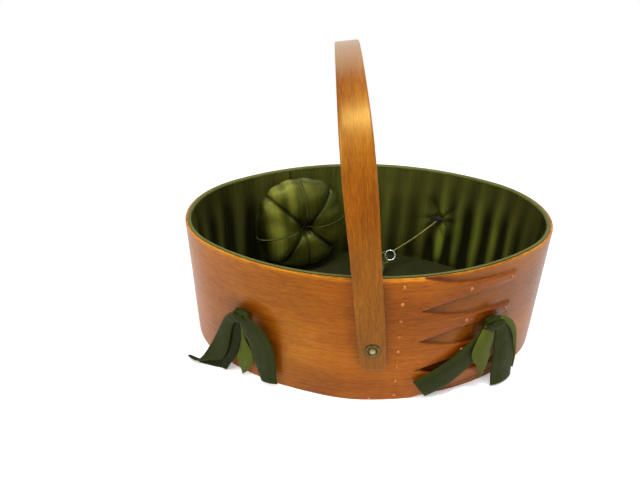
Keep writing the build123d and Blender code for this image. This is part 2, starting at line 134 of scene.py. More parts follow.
def through(points, count):
    """count points on a smooth curve through the given ones, with any extra columns carried along."""
    points = np.asarray(points, float)
    gaps = np.linalg.norm(np.diff(points[:, :3], axis=0), axis=1)
    at = np.concatenate([[0], np.cumsum(gaps)])
    slopes = np.gradient(points, at, axis=0)
    wanted = np.linspace(0, at[-1], count)
    i = np.clip(np.searchsorted(at, wanted, side="right") - 1, 0, len(at) - 2)
    step = (at[i + 1] - at[i])[:, None]
    t = (wanted[:, None] - at[i][:, None]) / step
    return (
        (2 * t**3 - 3 * t**2 + 1) * points[i]
        + (t**3 - 2 * t**2 + t) * step * slopes[i]
        + (3 * t**2 - 2 * t**3) * points[i + 1]
        + (t**3 - t**2) * step * slopes[i + 1]
    )


def unit(v):
    v = np.asarray(v, float)
    return v / np.linalg.norm(v, axis=-1, keepdims=True)


def add_piece(name, mesh, finish, body="box", stands_for=()):
    piece = bpy.data.objects.new(name, mesh)
    bpy.context.scene.collection.objects.link(piece)
    piece.data.materials.append(finish)
    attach(piece, body)
    if stands_for:
        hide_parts(*stands_for)
    return piece


def grid(name, points, wrap=(False, False), uv=None, fields=None):
    """Mesh of quads over a (rows, columns, 3) array. uv has one more row or column where it wraps."""
    rows, columns = points.shape[:2]
    r = np.arange(rows if wrap[0] else rows - 1)[:, None]
    c = np.arange(columns if wrap[1] else columns - 1)[None, :]
    r2, c2 = (r + 1) % rows, (c + 1) % columns
    quads = np.stack([r * columns + c, r2 * columns + c, r2 * columns + c2, r * columns + c2], -1)
    mesh = bpy.data.meshes.new(name)
    mesh.from_pydata(points.reshape(-1, 3).tolist(), [], quads.reshape(-1, 4).tolist())
    if uv is not None:
        corners = np.stack([uv[r, c], uv[r + 1, c], uv[r + 1, c + 1], uv[r, c + 1]], -2)
        mesh.uv_layers.new(name="UVMap").data.foreach_set("uv", corners.astype(np.float32).ravel())
    for field, values in (fields or {}).items():
        attribute = mesh.attributes.new(field, "FLOAT", "POINT")
        attribute.data.foreach_set("value", values.astype(np.float32).ravel())
    mesh.shade_smooth()
    mesh.update()
    return mesh


def tube(name, path, radius, sides=10, closed=False):
    """Round tube along a (count, 3) path; radius may be one number or one for each point."""
    path = np.asarray(path, float)
    ahead = unit(
        np.roll(path, -1, 0) - np.roll(path, 1, 0)
    ) if closed else unit(np.gradient(path, axis=0))
    side = unit(np.cross(ahead[0], [0.31, 0.17, 0.93]))
    sides_list = []
    for direction in ahead:
        side = unit(side - direction * np.dot(side, direction))
        sides_list.append(side)
    side = np.array(sides_list)
    up = np.cross(ahead, side)
    turn = full_turn(sides)
    reach = np.broadcast_to(np.asarray(radius, float), (len(path),))[:, None, None]
    ring = side[:, None] * np.cos(turn)[None, :, None] + up[:, None] * np.sin(turn)[None, :, None]
    points = path[:, None] + ring * reach
    length = np.concatenate([[0], np.cumsum(np.linalg.norm(np.diff(path, axis=0), axis=1))])
    if closed:
        length = np.append(length, length[-1] + np.linalg.norm(path[0] - path[-1]))
    around = np.linspace(0, 2 * pi * float(np.mean(reach)), sides + 1)
    uv = uv_grid(length, around)
    mesh = grid(name, points, wrap=(closed, True), uv=uv)
    if not closed:
        close_ends(mesh)
    return mesh


def close_ends(mesh):
    work = bmesh.new()
    work.from_mesh(mesh)
    bmesh.ops.holes_fill(work, edges=[e for e in work.edges if e.is_boundary], sides=0)
    bmesh.ops.recalc_face_normals(work, faces=work.faces)
    work.to_mesh(mesh)
    work.free()


def closed_grid(name, points, uv=None, fields=None):
    """A smooth grid that wraps round its columns, with both ends filled."""
    mesh = grid(name, points, wrap=(False, True), uv=uv, fields=fields)
    close_ends(mesh)
    mesh.shade_smooth()
    return mesh


UP = np.array([0.0, 0.0, 1.0])


def in_axes(origin, right, ahead, x, y, z):
    """Points x along right, y along ahead and z up from an origin."""
    x, y, z = np.broadcast_arrays(x, y, z)
    return origin + x[..., None] * right + y[..., None] * ahead + z[..., None] * UP


# ---------------------------------------------------------------- materials
class Finish:
    """A node material: self.use(kind, ...) adds a node and returns its first live output."""

    def __init__(self, name, **shader):
        self.material = bpy.data.materials.new(name)
        self.material.use_nodes = True
        self.tree = self.material.node_tree
        self.shader = self.tree.nodes["Principled BSDF"]
        for key, value in shader.items():
            self.shader.inputs[key.replace("_", " ")].default_value = value

    def use(self, kind, out=0, props=None, **inputs):
        node = self.tree.nodes.new(kind)
        for key, value in (props or {}).items():
            setattr(node, key, value)
        for key, value in inputs.items():
            socket = node.inputs[int(key[1:])] if key[0] == "i" and key[1:].isdigit() else node.inputs[key]
            if isinstance(value, bpy.types.NodeSocket):
                self.tree.links.new(value, socket)
            else:
                socket.default_value = value
        return node.outputs[out]

    def math(self, operation, a, b=0.0, clamp=False):
        return self.use("ShaderNodeMath", props={"operation": operation, "use_clamp": clamp}, i0=a, i1=b)

    def weigh(self, a, share_a, b, share_b):
        """The sum of two values, each times its share."""
        return self.math("ADD", self.math("MULTIPLY", a, share_a), self.math("MULTIPLY", b, share_b))

    def uv(self, across=1.0, along=1.0):
        return self.stretch(self.use("ShaderNodeTexCoord", out="UV"), (across, along, 1))

    def place(self, scale=(1, 1, 1)):
        return self.stretch(self.use("ShaderNodeTexCoord", out="Object"), scale)

    def stretch(self, vector, scale):
        return self.use("ShaderNodeMapping", Vector=vector, Scale=scale)

    def noise(self, vector, detail=3.0, rough=0.5, distort=0.0, scale=1.0):
        return self.use(
            "ShaderNodeTexNoise", Vector=vector, Scale=scale, Detail=detail, Roughness=rough,
            Distortion=distort
        )

    def ramp(self, value, *stops):
        node = self.tree.nodes.new("ShaderNodeValToRGB")
        self.tree.links.new(value, node.inputs[0])
        elements = node.color_ramp.elements
        while len(elements) < len(stops):
            elements.new(0.5)
        for element, (at, colour) in zip(elements, stops):
            element.position = at
            element.color = (colour, colour, colour, 1) if isinstance(colour, float) else (*colour, 1)
        return node.outputs[0]

    def mix(self, share, a, b, blend="MIX"):
        props = {"data_type": "RGBA", "blend_type": blend}
        a = (*a, 1) if isinstance(a, tuple) else a
        b = (*b, 1) if isinstance(b, tuple) else b
        return self.use("ShaderNodeMix", out=2, props=props, i0=share, i6=a, i7=b)

    def field(self, name):
        return self.use("ShaderNodeAttribute", out="Fac", props={"attribute_name": name})

    def bump(self, height, distance, strength=1.0, under=None):
        inputs = {"Height": height, "Distance": distance, "Strength": strength}
        if under is not None:
            inputs["Normal"] = under
        return self.use("ShaderNodeBump", **inputs)

    def feed(self, **sockets):
        for key, value in sockets.items():
            self.tree.links.new(value, self.shader.inputs[key.replace("_", " ")])
        return self.material


def wood(name, dark, middle, light, along="u", coat=0.07, gloss=0.12, grain_depth=0.00010, creased=False):
    """Varnished wood whose grain runs along u or v of its UV map, in metres."""
    f = Finish(name, Coat_Weight=coat, Coat_Roughness=gloss, Coat_IOR=1.5, IOR=1.45)
    f.shader.inputs["Specular Tint"].default_value = (1.0, 0.60, 0.10, 1)

    def laid(length_rate, cross_rate):
        return f.uv(length_rate, cross_rate) if along == "u" else f.uv(cross_rate, length_rate)

    cloud = f.noise(laid(9, 22), detail=3)
    figure = f.noise(laid(30, 620), detail=4, rough=0.65, distort=0.4)
    lines = f.noise(laid(150, 2000), detail=3, rough=0.7)
    pores = f.noise(laid(110, 2300), detail=1, rough=0.5)
    tone = f.weigh(figure, 0.40, lines, 0.60)
    tone = f.math("ADD", tone, f.math("MULTIPLY", f.math("SUBTRACT", cloud, 0.5), 0.60))
    colour = f.ramp(tone, (0.33, dark), (0.50, middle), (0.67, light))
    fleck = f.ramp(pores, (0.31, (0.66, 0.54, 0.52)), (0.39, (1.0, 1.0, 1.0)))
    colour = f.mix(1.0, colour, fleck, blend="MULTIPLY")
    colour = f.mix(
        f.math("MULTIPLY", cloud, 0.35), colour, f.mix(1.0, colour, (0.92, 0.68, 0.6), blend="MULTIPLY")
    )
    if creased:
        golden = f.mix(1.0, colour, (1.06, 1.16, 1.3), blend="MULTIPLY")
        colour = f.mix(f.field("golden"), colour, golden)
        warm = f.mix(1.0, colour, (0.96, 0.80, 0.80), blend="MULTIPLY")
        colour = f.mix(f.field("lap"), colour, warm)
        # painted shade: a thin dark red-brown line in the corner at each finger's edge
        colour = f.mix(f.field("step_shade"), colour, (0.075, 0.010, 0.002))
        # stain with painted shade: deep red-brown in the notch apexes and recesses, with stain round the ties
        colour = f.mix(f.field("stain_and_shade"), colour, (0.066, 0.004, 0.001))
        # painted highlight: the band's top edge is made lighter and yellower, as if catching the light
        edge_change = f.mix(1.0, colour, (1.45, 1.9, 3.0), blend="MULTIPLY")
        colour = f.mix(f.field("rim"), colour, edge_change)
    else:
        deep = f.mix(1.0, colour, (0.90, 0.76, 0.50), blend="MULTIPLY")
        colour = f.mix(f.field("deep"), colour, deep)
        # painted reflection: the crown of the bow is washed pale, as the white room reflects in it
        crown_reflection = f.mix(0.55, colour, (0.36, 0.235, 0.13))
        colour = f.mix(f.field("crown_reflection"), colour, crown_reflection)
    height = f.weigh(lines, 0.5, fleck, 0.5)
    rough = f.ramp(cloud, (0.3, 0.26), (0.7, 0.36))
    return f.feed(Base_Color=colour, Roughness=rough, Normal=f.bump(height, grain_depth, 0.8))


def satin(name, dark, light, rough=0.42, weave=0.00009, light_ramp=None):
    """Satin: fine weft lines, soft streaks along the warp and a sheen across it."""
    f = Finish(
        name, Sheen_Weight=0.08, Sheen_Roughness=0.35, Sheen_Tint=(0.50, 0.58, 0.12, 1), Anisotropic=0.6
    )
    f.shader.inputs["Specular IOR Level"].default_value = 0.42
    f.shader.inputs["Specular Tint"].default_value = (0.85, 0.95, 0.22, 1)
    streak = f.noise(f.uv(700, 14), detail=3)
    cloud = f.noise(f.uv(28, 16), detail=3)
    tone = f.weigh(streak, 0.5, cloud, 0.5)
    colour = f.ramp(tone, (0.36, dark), (0.64, light))
    # painted light: the fold attribute holds painted light and shade, which scale the colour from dark to
    # bright
    if light_ramp:
        lit = f.field("fold")
        colour = f.mix(
            1.0, colour, f.ramp(lit, (0.0, light_ramp[0]), (0.45, light_ramp[1]), (1.0, light_ramp[2])),
            blend="MULTIPLY"
        )
    threads = f.noise(f.uv(260, 5200), detail=2)
    warp = f.noise(f.uv(5200, 260), detail=2)
    height = f.math("ADD", threads, f.math("MULTIPLY", warp, 0.5))
    f.shader.inputs["Roughness"].default_value = rough
    tangent = f.use("ShaderNodeTangent", props={"direction_type": "UV_MAP", "uv_map": "UVMap"})
    return f.feed(Base_Color=colour, Normal=f.bump(height, weave, 0.7), Tangent=tangent)


def ribbon_cloth(name, dark, light):
    """Taffeta ribbon: ribs across the width, a corded selvage and slubs."""
    f = Finish(
        name, Sheen_Weight=0.06, Sheen_Roughness=0.4, Sheen_Tint=(0.5, 0.6, 0.2, 1), Roughness=0.62
    )
    f.shader.inputs["Specular IOR Level"].default_value = 0.15
    f.shader.inputs["Specular Tint"].default_value = (0.8, 0.9, 0.25, 1)
    split = f.use("ShaderNodeSeparateXYZ", Vector=f.use("ShaderNodeTexCoord", out="UV"))
    cloud = f.noise(f.uv(120, 40), detail=3)
    slub = f.noise(f.uv(160, 2600), detail=2)
    tone = f.weigh(cloud, 0.6, slub, 0.4)
    colour = f.ramp(tone, (0.35, dark), (0.66, light))
    ribs = f.use(
        "ShaderNodeTexWave", props={"bands_direction": "Y"}, Vector=f.uv(1, 1), Scale=520.0,
        Distortion=0.4
    )
    edge = f.math("ABSOLUTE", split)
    selvage = f.ramp(f.math("MULTIPLY", edge, 160.0), (0.80, 0.0), (0.92, 1.0))
    colour = f.mix(f.math("MULTIPLY", selvage, 0.35), colour, light)
    height = f.weigh(ribs, 0.5, slub, 0.5)
    height = f.math("ADD", height, selvage)
    return f.feed(Base_Color=colour, Normal=f.bump(height, 0.00008, 0.8))


def metal(name, dark, light, rough=0.35, rings=()):
    """Aged metal with fine scratches. Rings are (radius, level) stops of painted highlight and shade round
    the handle's pivot.
    """
    f = Finish(name, Metallic=0.85)
    cloud = f.noise(f.place((500, 500, 500)), detail=4)
    scratch = f.noise(f.place((2600, 900, 2600)), detail=2)
    colour = f.ramp(cloud, (0.38, dark), (0.62, light))
    if rings:
        flat = f.use(
            "ShaderNodeMapping", Vector=f.use("ShaderNodeTexCoord", out="Object"), Scale=(1, 0, 1)
        )
        away = f.use(
            "ShaderNodeVectorMath", out=1, props={"operation": "DISTANCE"}, i0=flat,
            i1=(0, 0, PIVOT_HEIGHT)
        )
        # painted highlight and shade in rings round the pivot
        ring_shading = f.ramp(
            f.math("MULTIPLY", away, 100.0), *((radius * 100, level) for radius, level in rings)
        )
        colour = f.mix(1.0, colour, ring_shading, blend="MULTIPLY")
    return f.feed(
        Base_Color=colour,
        Roughness=f.ramp(cloud, (0.3, rough + 0.2), (0.7, rough)),
        Normal=f.bump(scratch, 0.00003, 0.5),
    )


def felted(name, dark, light, rough=0.9, grain=2400.0):
    """Matt fibrous surface, such as felt, flannel or pasteboard."""
    f = Finish(name, Sheen_Weight=0.08, Sheen_Roughness=0.6, Roughness=rough)
    f.shader.inputs["Specular IOR Level"].default_value = 0.2
    fibre = f.noise(f.place((grain, grain * 0.5, grain)), detail=5, rough=0.7)
    cloud = f.noise(f.place((60, 60, 60)), detail=3)
    tone = f.weigh(fibre, 0.5, cloud, 0.5)
    return f.feed(Base_Color=f.ramp(tone, (0.36, dark), (0.64, light)), Normal=f.bump(fibre, 0.0001, 0.6))


band_wood = wood(
    "band_wood", (0.155, 0.030, 0.0006), (0.29, 0.077, 0.0012), (0.44, 0.145, 0.005), creased=True
)
handle_wood = wood(
    "handle_wood", (0.115, 0.020, 0.0003), (0.215, 0.050, 0.0006), (0.35, 0.110, 0.002), along="v",
    coat=0.10, gloss=0.30
)
handle_wood_shader = handle_wood.node_tree.nodes["Principled BSDF"]
handle_wood_shader.inputs["Specular IOR Level"].default_value = 0.8
handle_wood_shader.inputs["Specular Tint"].default_value = (1.0, 0.72, 0.10, 1)
side_satin = satin(
    "side_satin", (0.060, 0.062, 0.009), (0.105, 0.108, 0.014),
    # painted light: colour scales for shaded, middle and lit parts
    light_ramp=((0.11, 0.11, 0.24), (0.78, 0.75, 1.05), (1.8, 2.15, 1.7))
)
floor_satin = satin("floor_satin", (0.014, 0.015, 0.005), (0.030, 0.031, 0.011), rough=0.75)
cushion_satin = satin(
    "cushion_satin", (0.050, 0.054, 0.006), (0.100, 0.104, 0.012), rough=0.40,
    # painted light: colour scales for shaded, middle and lit parts
    light_ramp=((0.06, 0.06, 0.08), (0.64, 0.64, 0.66), (2.15, 2.15, 2.4))
)
book_satin = satin("book_satin", (0.045, 0.050, 0.006), (0.085, 0.092, 0.012))
piping_satin = satin("piping_satin", (0.055, 0.060, 0.014), (0.120, 0.128, 0.034), rough=0.5)
ribbon_green = ribbon_cloth("ribbon_green", (0.008, 0.011, 0.0018), (0.025, 0.030, 0.005))
# painted shade: a near-black copy of the ribbon cloth for tie parts tucked behind or under others
ribbon_in_shade = ribbon_cloth("ribbon_in_shade", (0.002, 0.003, 0.001), (0.009, 0.011, 0.002))
ribbon_light = ribbon_cloth("ribbon_light", (0.046, 0.055, 0.006), (0.092, 0.106, 0.013))
thread_green = felted(
    "thread_green", (0.040, 0.041, 0.005), (0.150, 0.145, 0.018), rough=0.6, grain=5200.0
)
brass = metal(
    "brass", (0.34, 0.24, 0.08), (0.50, 0.38, 0.15), rough=0.25,
    # painted highlight on the middle of the dome, painted shade round it
    rings=((0.0012, 1.0), (0.0024, 0.16), (0.0040, 0.16))
)
aged_brass = metal(
    "aged_brass", (0.13, 0.10, 0.035), (0.22, 0.17, 0.06), rough=0.4,
    # painted shade next to the dome, a lighter band, then darker towards the washer's edge
    rings=((0.0030, 0.12), (0.0040, 1.0), (0.0052, 0.35))
)
copper = metal("copper", (0.30, 0.080, 0.018), (0.55, 0.20, 0.055), rough=0.5)
steel_wire = metal("steel_wire", (0.45, 0.46, 0.46), (0.80, 0.81, 0.82), rough=0.22)
pasteboard = felted("pasteboard", (0.30, 0.24, 0.15), (0.45, 0.38, 0.26))
cap_felt = felted("cap_felt", (0.05, 0.10, 0.012), (0.11, 0.20, 0.03))
flannel = felted("flannel", (0.50, 0.44, 0.32), (0.68, 0.62, 0.48))
emery_silk = felted("emery_silk", (0.22, 0.016, 0.012), (0.36, 0.035, 0.022), rough=0.5)

f = Finish("board_wood", Roughness=0.6)
board_lines = f.noise(f.place((30, 900, 400)), detail=4, distort=0.4)
board_cloud = f.noise(f.place((12, 40, 12)), detail=3)
board_tone = f.weigh(board_lines, 0.6, board_cloud, 0.4)
board_wood = f.feed(
    Base_Color=f.ramp(board_tone, (0.35, (0.36, 0.20, 0.085)), (0.65, (0.56, 0.36, 0.18))),
    Normal=f.bump(board_lines, 0.00015, 0.6),
)

f = Finish("beeswax", Roughness=0.45, Subsurface_Weight=0.25, Subsurface_Radius=(0.004, 0.002, 0.0008))
wax_cloud = f.noise(f.place((140, 140, 140)), detail=4)
wax_marks = f.noise(f.place((900, 900, 900)), detail=2)
beeswax = f.feed(
    Base_Color=f.ramp(wax_cloud, (0.35, (0.36, 0.20, 0.035)), (0.65, (0.58, 0.37, 0.09))),
    Normal=f.bump(wax_marks, 0.0002, 0.4),
)


def finish_cad(node, finish):
    """A CAD node keeps its shape and gets a node material."""
    piece = nodes[node]
    piece.data.materials.clear()
    piece.data.materials.append(finish)


for node in ("front_rivet", "back_rivet"):
    finish_cad(node, brass)
for node in ("front_washer", "back_washer"):
    finish_cad(node, aged_brass)
for node in ("lap_tacks", "finger_tacks", "front_burr", "back_burr"):
    finish_cad(node, copper)
for node in ("bottom_board", "bottom_points"):
    finish_cad(node, board_wood)
for node in ("lining_card", "floor_card"):
    finish_cad(node, pasteboard)
finish_cad("tether_ring", steel_wire)
finish_cad("beeswax", beeswax)
finish_cad("needle_book_leaves", flannel)

# ---------------------------------------------------------------- camera, light and floor
camera = bpy.data.objects.new("camera", bpy.data.cameras.new("camera"))
bpy.context.scene.collection.objects.link(camera)
camera.location = (-0.0289, -0.3625, 0.2741)
camera.rotation_euler = Vector((-0.0175, 0.8731, -0.4871)).to_track_quat("-Z", "Y").to_euler()
camera.data.lens = 28.84
camera.data.sensor_width = 36
camera.data.clip_start = 0.01
bpy.context.scene.camera = camera
bpy.context.scene.view_settings.view_transform = "Standard"


def lamp(name, place, target, width, height, watts, colour=(1, 1, 1)):
    light = bpy.data.lights.new(name, "AREA")
    light.shape = "RECTANGLE"
    light.size, light.size_y = width, height
    light.energy = watts
    light.color = colour
    holder = bpy.data.objects.new(name, light)
    bpy.context.scene.collection.objects.link(holder)
    holder.location = place
    holder.rotation_euler = (Vector(target) - Vector(place)).to_track_quat("-Z", "Y").to_euler()


lamp("window", (-0.7, -0.75, 1.15), (0, 0, 0.05), 0.7, 0.7, 10.0, (1.0, 0.985, 0.96))
lamp("fill", (0.9, -0.9, 0.7), (0, 0, 0.05), 0.8, 0.6, 2.0)
lamp("ceiling", (0.08, -0.29, 1.12), (0, 0, 0.08), 0.42, 0.12, 7.5)

world = bpy.data.worlds.new("studio")
bpy.context.scene.world = world
world.use_nodes = True
tree = world.node_tree
background = tree.nodes["Background"]
background.inputs["Color"].default_value = (1.0, 1.0, 1.0, 1)
path_kind = tree.nodes.new("ShaderNodeLightPath")
seen = tree.nodes.new("ShaderNodeMath")
seen.operation = "MAXIMUM"
tree.links.new(path_kind.outputs["Is Camera Ray"], seen.inputs[0])
tree.links.new(path_kind.outputs["Is Glossy Ray"], seen.inputs[1])
level = tree.nodes.new("ShaderNodeMapRange")
level.inputs["To Min"].default_value = 0.46
level.inputs["To Max"].default_value = 1.0
tree.links.new(seen.outputs[0], level.inputs["Value"])
tree.links.new(level.outputs[0], background.inputs["Strength"])

FLOOR_HALF = 2.0
floor_left = [[-FLOOR_HALF, -FLOOR_HALF, 0], [-FLOOR_HALF, 0.47, 0]]
floor_right = [[FLOOR_HALF, -FLOOR_HALF, 0], [FLOOR_HALF, 0.41, 0]]
floor_mesh = grid("floor", np.array([floor_left, floor_right]))
floor = bpy.data.objects.new("floor", floor_mesh)
bpy.context.scene.collection.objects.link(floor)
f = Finish("floor_paper", Roughness=0.9)
paper = f.noise(f.place((3, 3, 3)), detail=2)
f.shader.inputs["Emission Color"].default_value = (0.98, 0.985, 1.0, 1)
glow = f.math("MULTIPLY", f.use("ShaderNodeLightPath", out="Is Camera Ray"), 0.26)
floor_paper = f.feed(
    Base_Color=f.ramp(paper, (0.3, (0.90, 0.90, 0.91)), (0.7, (0.95, 0.95, 0.96))), Emission_Strength=glow
)
floor_mesh.materials.append(floor_paper)

# ---------------------------------------------------------------- tether thread
TETHER_ROUTE = [
    (0.07295, 0.07387, 0.05211), (0.06062, 0.06945, 0.04346), (0.04583, 0.06415, 0.03429),
    (0.03186, 0.05914, 0.02754)
]
route = bpy.data.curves.new("tether", "CURVE")
route.dimensions = "3D"
spline = route.splines.new("NURBS")
spline.points.add(len(TETHER_ROUTE) - 1)
for point, place in zip(spline.points, TETHER_ROUTE):
    point.co = (*place, 1)
spline.order_u = 3
spline.use_endpoint_u = True
route.resolution_u = 24
route.bevel_depth = 0.0007
tether_thread = felted(
    "tether_thread", (0.080, 0.080, 0.012), (0.260, 0.250, 0.045), rough=0.6, grain=5200.0
)
tether = add_piece("tether", route, tether_thread, stands_for=["tether_cord"])

# ---------------------------------------------------------------- bent-wood band with its swallowtail lap
lap_start, lap_full = front_s(LAP_START_X), front_s(LAP_FULL_X)
finger_end = front_s(FINGER_ROOT_X + FINGER_LENGTH)
fine = np.arange(lap_start, finger_end + 0.004, 0.0005)
coarse = np.linspace(finger_end + 0.004, lap_start + PERIMETER, 130)[:-1]
band_s = np.concatenate([fine[:-1], coarse])
FACE_ROWS, INSIDE_ROWS = 185, 8
face_z = np.linspace(0.0009, HEIGHT - 0.0010, FACE_ROWS)
rim_turn = np.linspace(0, pi, 9)[1:-1]
sole_turn = np.linspace(0, pi, 7)[1:-1]
ROUND = 0.0009
rim_out = np.where(rim_turn < pi / 2, -ROUND, -WALL + ROUND) + ROUND * np.cos(rim_turn)
sole_out = np.where(sole_turn < pi / 2, -WALL + ROUND, -ROUND) - ROUND * np.cos(sole_turn)
section_out = np.concatenate([np.zeros(FACE_ROWS), rim_out, np.full(INSIDE_ROWS, -WALL), sole_out])
section_z = np.concatenate(
    [
        face_z,
        HEIGHT - ROUND + ROUND * np.sin(rim_turn),
        np.linspace(HEIGHT - 0.0010, 0.0009, INSIDE_ROWS),
        ROUND - ROUND * np.sin(sole_turn),
    ]
)
S, Z = np.meshgrid(band_s, section_z, indexing="ij")
OUT = np.broadcast_to(section_out, S.shape)
front_x = SIDE_RADIUS * np.sin(np.clip(S, -SIDE_HALF, SIDE_HALF) / SIDE_RADIUS)
front_x = np.where(S > SIDE_HALF, 1.0, front_x)


def notch_half(x):
    """Half the height of the gap between two fingers, at x along the front."""
    mouth = (HEIGHT / FINGER_COUNT - FINGER_TIP) / 2
    at = np.linspace(0, 1, 60)
    curve = through([(0, 0, 0), (0.38, 0.68, 0), (1, 1, 0)], 60)
    bow = np.interp(at, curve[:, 0], curve[:, 1])
    return mouth * np.interp(np.clip((x - FINGER_ROOT_X) / FINGER_LENGTH, 0, 1), at, bow)


pitch = HEIGHT / FINGER_COUNT
from_notch = np.abs(Z - np.round(Z / pitch) * pitch)
inside = np.where(
    front_x < FINGER_ROOT_X, FINGER_ROOT_X - front_x + 0.001, (from_notch - notch_half(front_x)) * 0.985
)
to_tip = FINGER_ROOT_X + FINGER_LENGTH - front_x
corner = 0.0022
edge = np.minimum(inside, to_tip)
both = (inside < corner) & (to_tip < corner)
edge = np.where(both, corner - np.hypot(corner - inside, corner - to_tip), edge)
ramp = smooth(lap_start, lap_full, S)
on_lap = smooth(-0.00035, 0.00035, edge) * (S < finger_end + 0.003)
edge_change = 0.0005 * smooth(0.0016, 0.0, edge) * on_lap
outward = smooth(-WALL * 0.75, -WALL * 0.1, OUT)
swell = 0.00018 * wander(S * 60, Z * 45, seed=4)
relief = outward * (ramp * (LAP * on_lap - edge_change) + np.minimum(swell, 0))
# painted shade in the corner below each finger's edge, fading towards the tips
step_shade = 0.9 * bell(edge + 0.0003, 0.00042) * (S < finger_end + 0.006) * (S > FINGER_ROOT_X - 0.006)
along_finger = np.clip((front_x - FINGER_ROOT_X) / FINGER_LENGTH, 0, 1.2)
step_shade *= 1 - 0.45 * along_finger
# painted shade with stain: each notch is darkest at its apex, fading along the finger
apex = (
    np.exp(-((np.maximum(front_x - FINGER_ROOT_X, 0) / 0.028) ** 1.5)) * smooth(0.0004, -0.0002, edge)
    * (front_x > FINGER_ROOT_X - 0.001)
)
toast = smooth(0.0035, 0.0, edge) * smooth(-0.0002, 0.0002, edge) * (S < finger_end + 0.003)
toast *= smooth(FINGER_ROOT_X, FINGER_ROOT_X + 0.006, front_x)
# painted shade with stain in the recess just below each finger's edge
recess = smooth(-0.0035, -0.0002, edge) * (edge < 0.0002) * (S < finger_end + 0.006)
arm_x = -(Z - PIVOT_HEIGHT) * sin(HANDLE_LEAN)
beside_arm = np.exp(-((np.abs(front_x - arm_x) - 0.0115) ** 2) / 0.0035**2) * smooth(0.022, 0.04, Z)
left_hole, right_hole = front_s(-0.0916) + PERIMETER, front_s(0.0822)


def blot(s, z, s_width, z_width):
    """A soft round stain on the band, centred at arc length s and height z."""
    return bell(S - s, s_width) * bell(Z - z, z_width)


tie_stain = blot(right_hole, 0.044, 0.022, 0.030) + blot(left_hole, 0.040, 0.024, 0.026)
tie_stain *= 0.8
tie_stain += 0.8 * blot(left_hole + 0.019, 0.053, 0.008, 0.008)
tie_stain += blot(left_hole + 0.029 + 0.10 * (0.05 - Z), 0.030, 0.0042, 0.018)
tie_stain += 0.7 * blot(left_hole + 0.006, 0.0625, 0.015, 0.0035)
# painted shade with stain in the notches and recesses, stain round the ties, a darker band beside the handle
# arm and fingers a little darker near their edges
stain_and_shade = (
    0.98 * apex + 0.52 * recess * (1 - 0.5 * along_finger) + 0.13 * toast + 0.20 * beside_arm
    + 0.46 * tie_stain
)
stain_and_shade = np.clip(stain_and_shade, 0, 1)
stain_and_shade *= 0.84 + 0.16 * wander(S * 220, Z * 160, seed=9)
on_front = np.isclose(OUT, 0) | (OUT > -ROUND)
golden = bell(S - PERIMETER + 0.030, 0.050) + bell(S + 0.030, 0.050)
golden = golden * smooth(0.105, 0.030, Z)
# painted highlight along the top edge of the rim, patchy along its length
rim_highlight = smooth(HEIGHT - 0.0024, HEIGHT - 0.0008, Z) * (0.75 + 0.25 * wander(S * 90, seed=13))
fields = {
    "rim": rim_highlight,
    "golden": np.clip(golden, 0, 1),
    "step_shade": np.clip(step_shade * on_front, 0, 1),
    "stain_and_shade": np.clip(stain_and_shade * on_front, 0, 1),
    "lap": on_lap * ramp * on_front,
}
band_uv_s = np.append(band_s, band_s[0] + PERIMETER)
rim_row = FACE_ROWS + len(rim_turn)
girth = np.concatenate([section_z[:rim_row], 2 * HEIGHT - section_z[rim_row:], [2 * HEIGHT + 0.001]])
band_uv = uv_grid(band_uv_s, girth)
band_mesh = grid("band_bent", wall(S, Z, OUT + relief), wrap=(True, True), uv=band_uv, fields=fields)
layer = band_mesh.uv_layers[0].data
corner_uv = np.zeros(len(layer) * 2, np.float32)
layer.foreach_get("uv", corner_uv)
quad_lap = (edge > 0) & (S < finger_end + 0.003)
corner_uv = corner_uv.reshape(-1, 4, 2)
corner_uv[quad_lap.reshape(-1), :, 0] += PERIMETER
layer.foreach_set("uv", corner_uv.ravel())
add_piece("band_bent", band_mesh, band_wood, stands_for=["band"])

# ---------------------------------------------------------------- bail handle
arm = np.concatenate(
    [[0, 0.0002, 0.0006, 0.0012, 0.002, 0.003], np.linspace(0.006, HANDLE_FOOT + HANDLE_STRAIGHT, 40)]
)
arch = np.linspace(0, pi, 110)[1:-1]
handle_middle_y = -0.0009
mid_span = INNER_SPAN + HANDLE_THICKNESS / 2
path_y = np.concatenate(
    [np.full(len(arm), -mid_span), -mid_span * np.cos(arch), np.full(len(arm), mid_span)]
)
path_h = np.concatenate(
    [arm - HANDLE_FOOT, HANDLE_STRAIGHT + mid_span * np.sin(arch), arm[::-1] - HANDLE_FOOT]
)
out_y = np.concatenate([np.full(len(arm), -1.0), -np.cos(arch), np.full(len(arm), 1.0)])
out_h = np.concatenate([np.zeros(len(arm)), np.sin(arch), np.zeros(len(arm))])
stations = [(-HANDLE_FOOT, 0.0170, 0), (0, 0.0182, 0), (HANDLE_STRAIGHT, 0.0190, 0), (0.128, 0.0204, 0)]
stations.append((HANDLE_STRAIGHT + mid_span + HANDLE_THICKNESS / 2 + 0.001, 0.0166, 0))
stations = through(stations, 200)
width = np.interp(path_h, stations[:, 0], stations[:, 1])
FOOT_CORNER = 0.003
foot_gap = np.minimum(path_h + HANDLE_FOOT, FOOT_CORNER)
width -= 2 * (FOOT_CORNER - np.sqrt(np.maximum(FOOT_CORNER**2 - (FOOT_CORNER - foot_gap) ** 2, 0)))
EASED = 0.0007
eased_gap = np.minimum(foot_gap, EASED)
eased = EASED - np.sqrt(np.maximum(2 * EASED * eased_gap - eased_gap**2, 0))
thick = HANDLE_THICKNESS - 2 * np.maximum(eased, 0)
turn = full_turn(56)
corner_sharp = 0.28
across = np.sign(np.cos(turn)) * np.abs(np.cos(turn)) ** corner_sharp
through_y = np.sign(np.sin(turn)) * np.abs(np.sin(turn)) ** corner_sharp
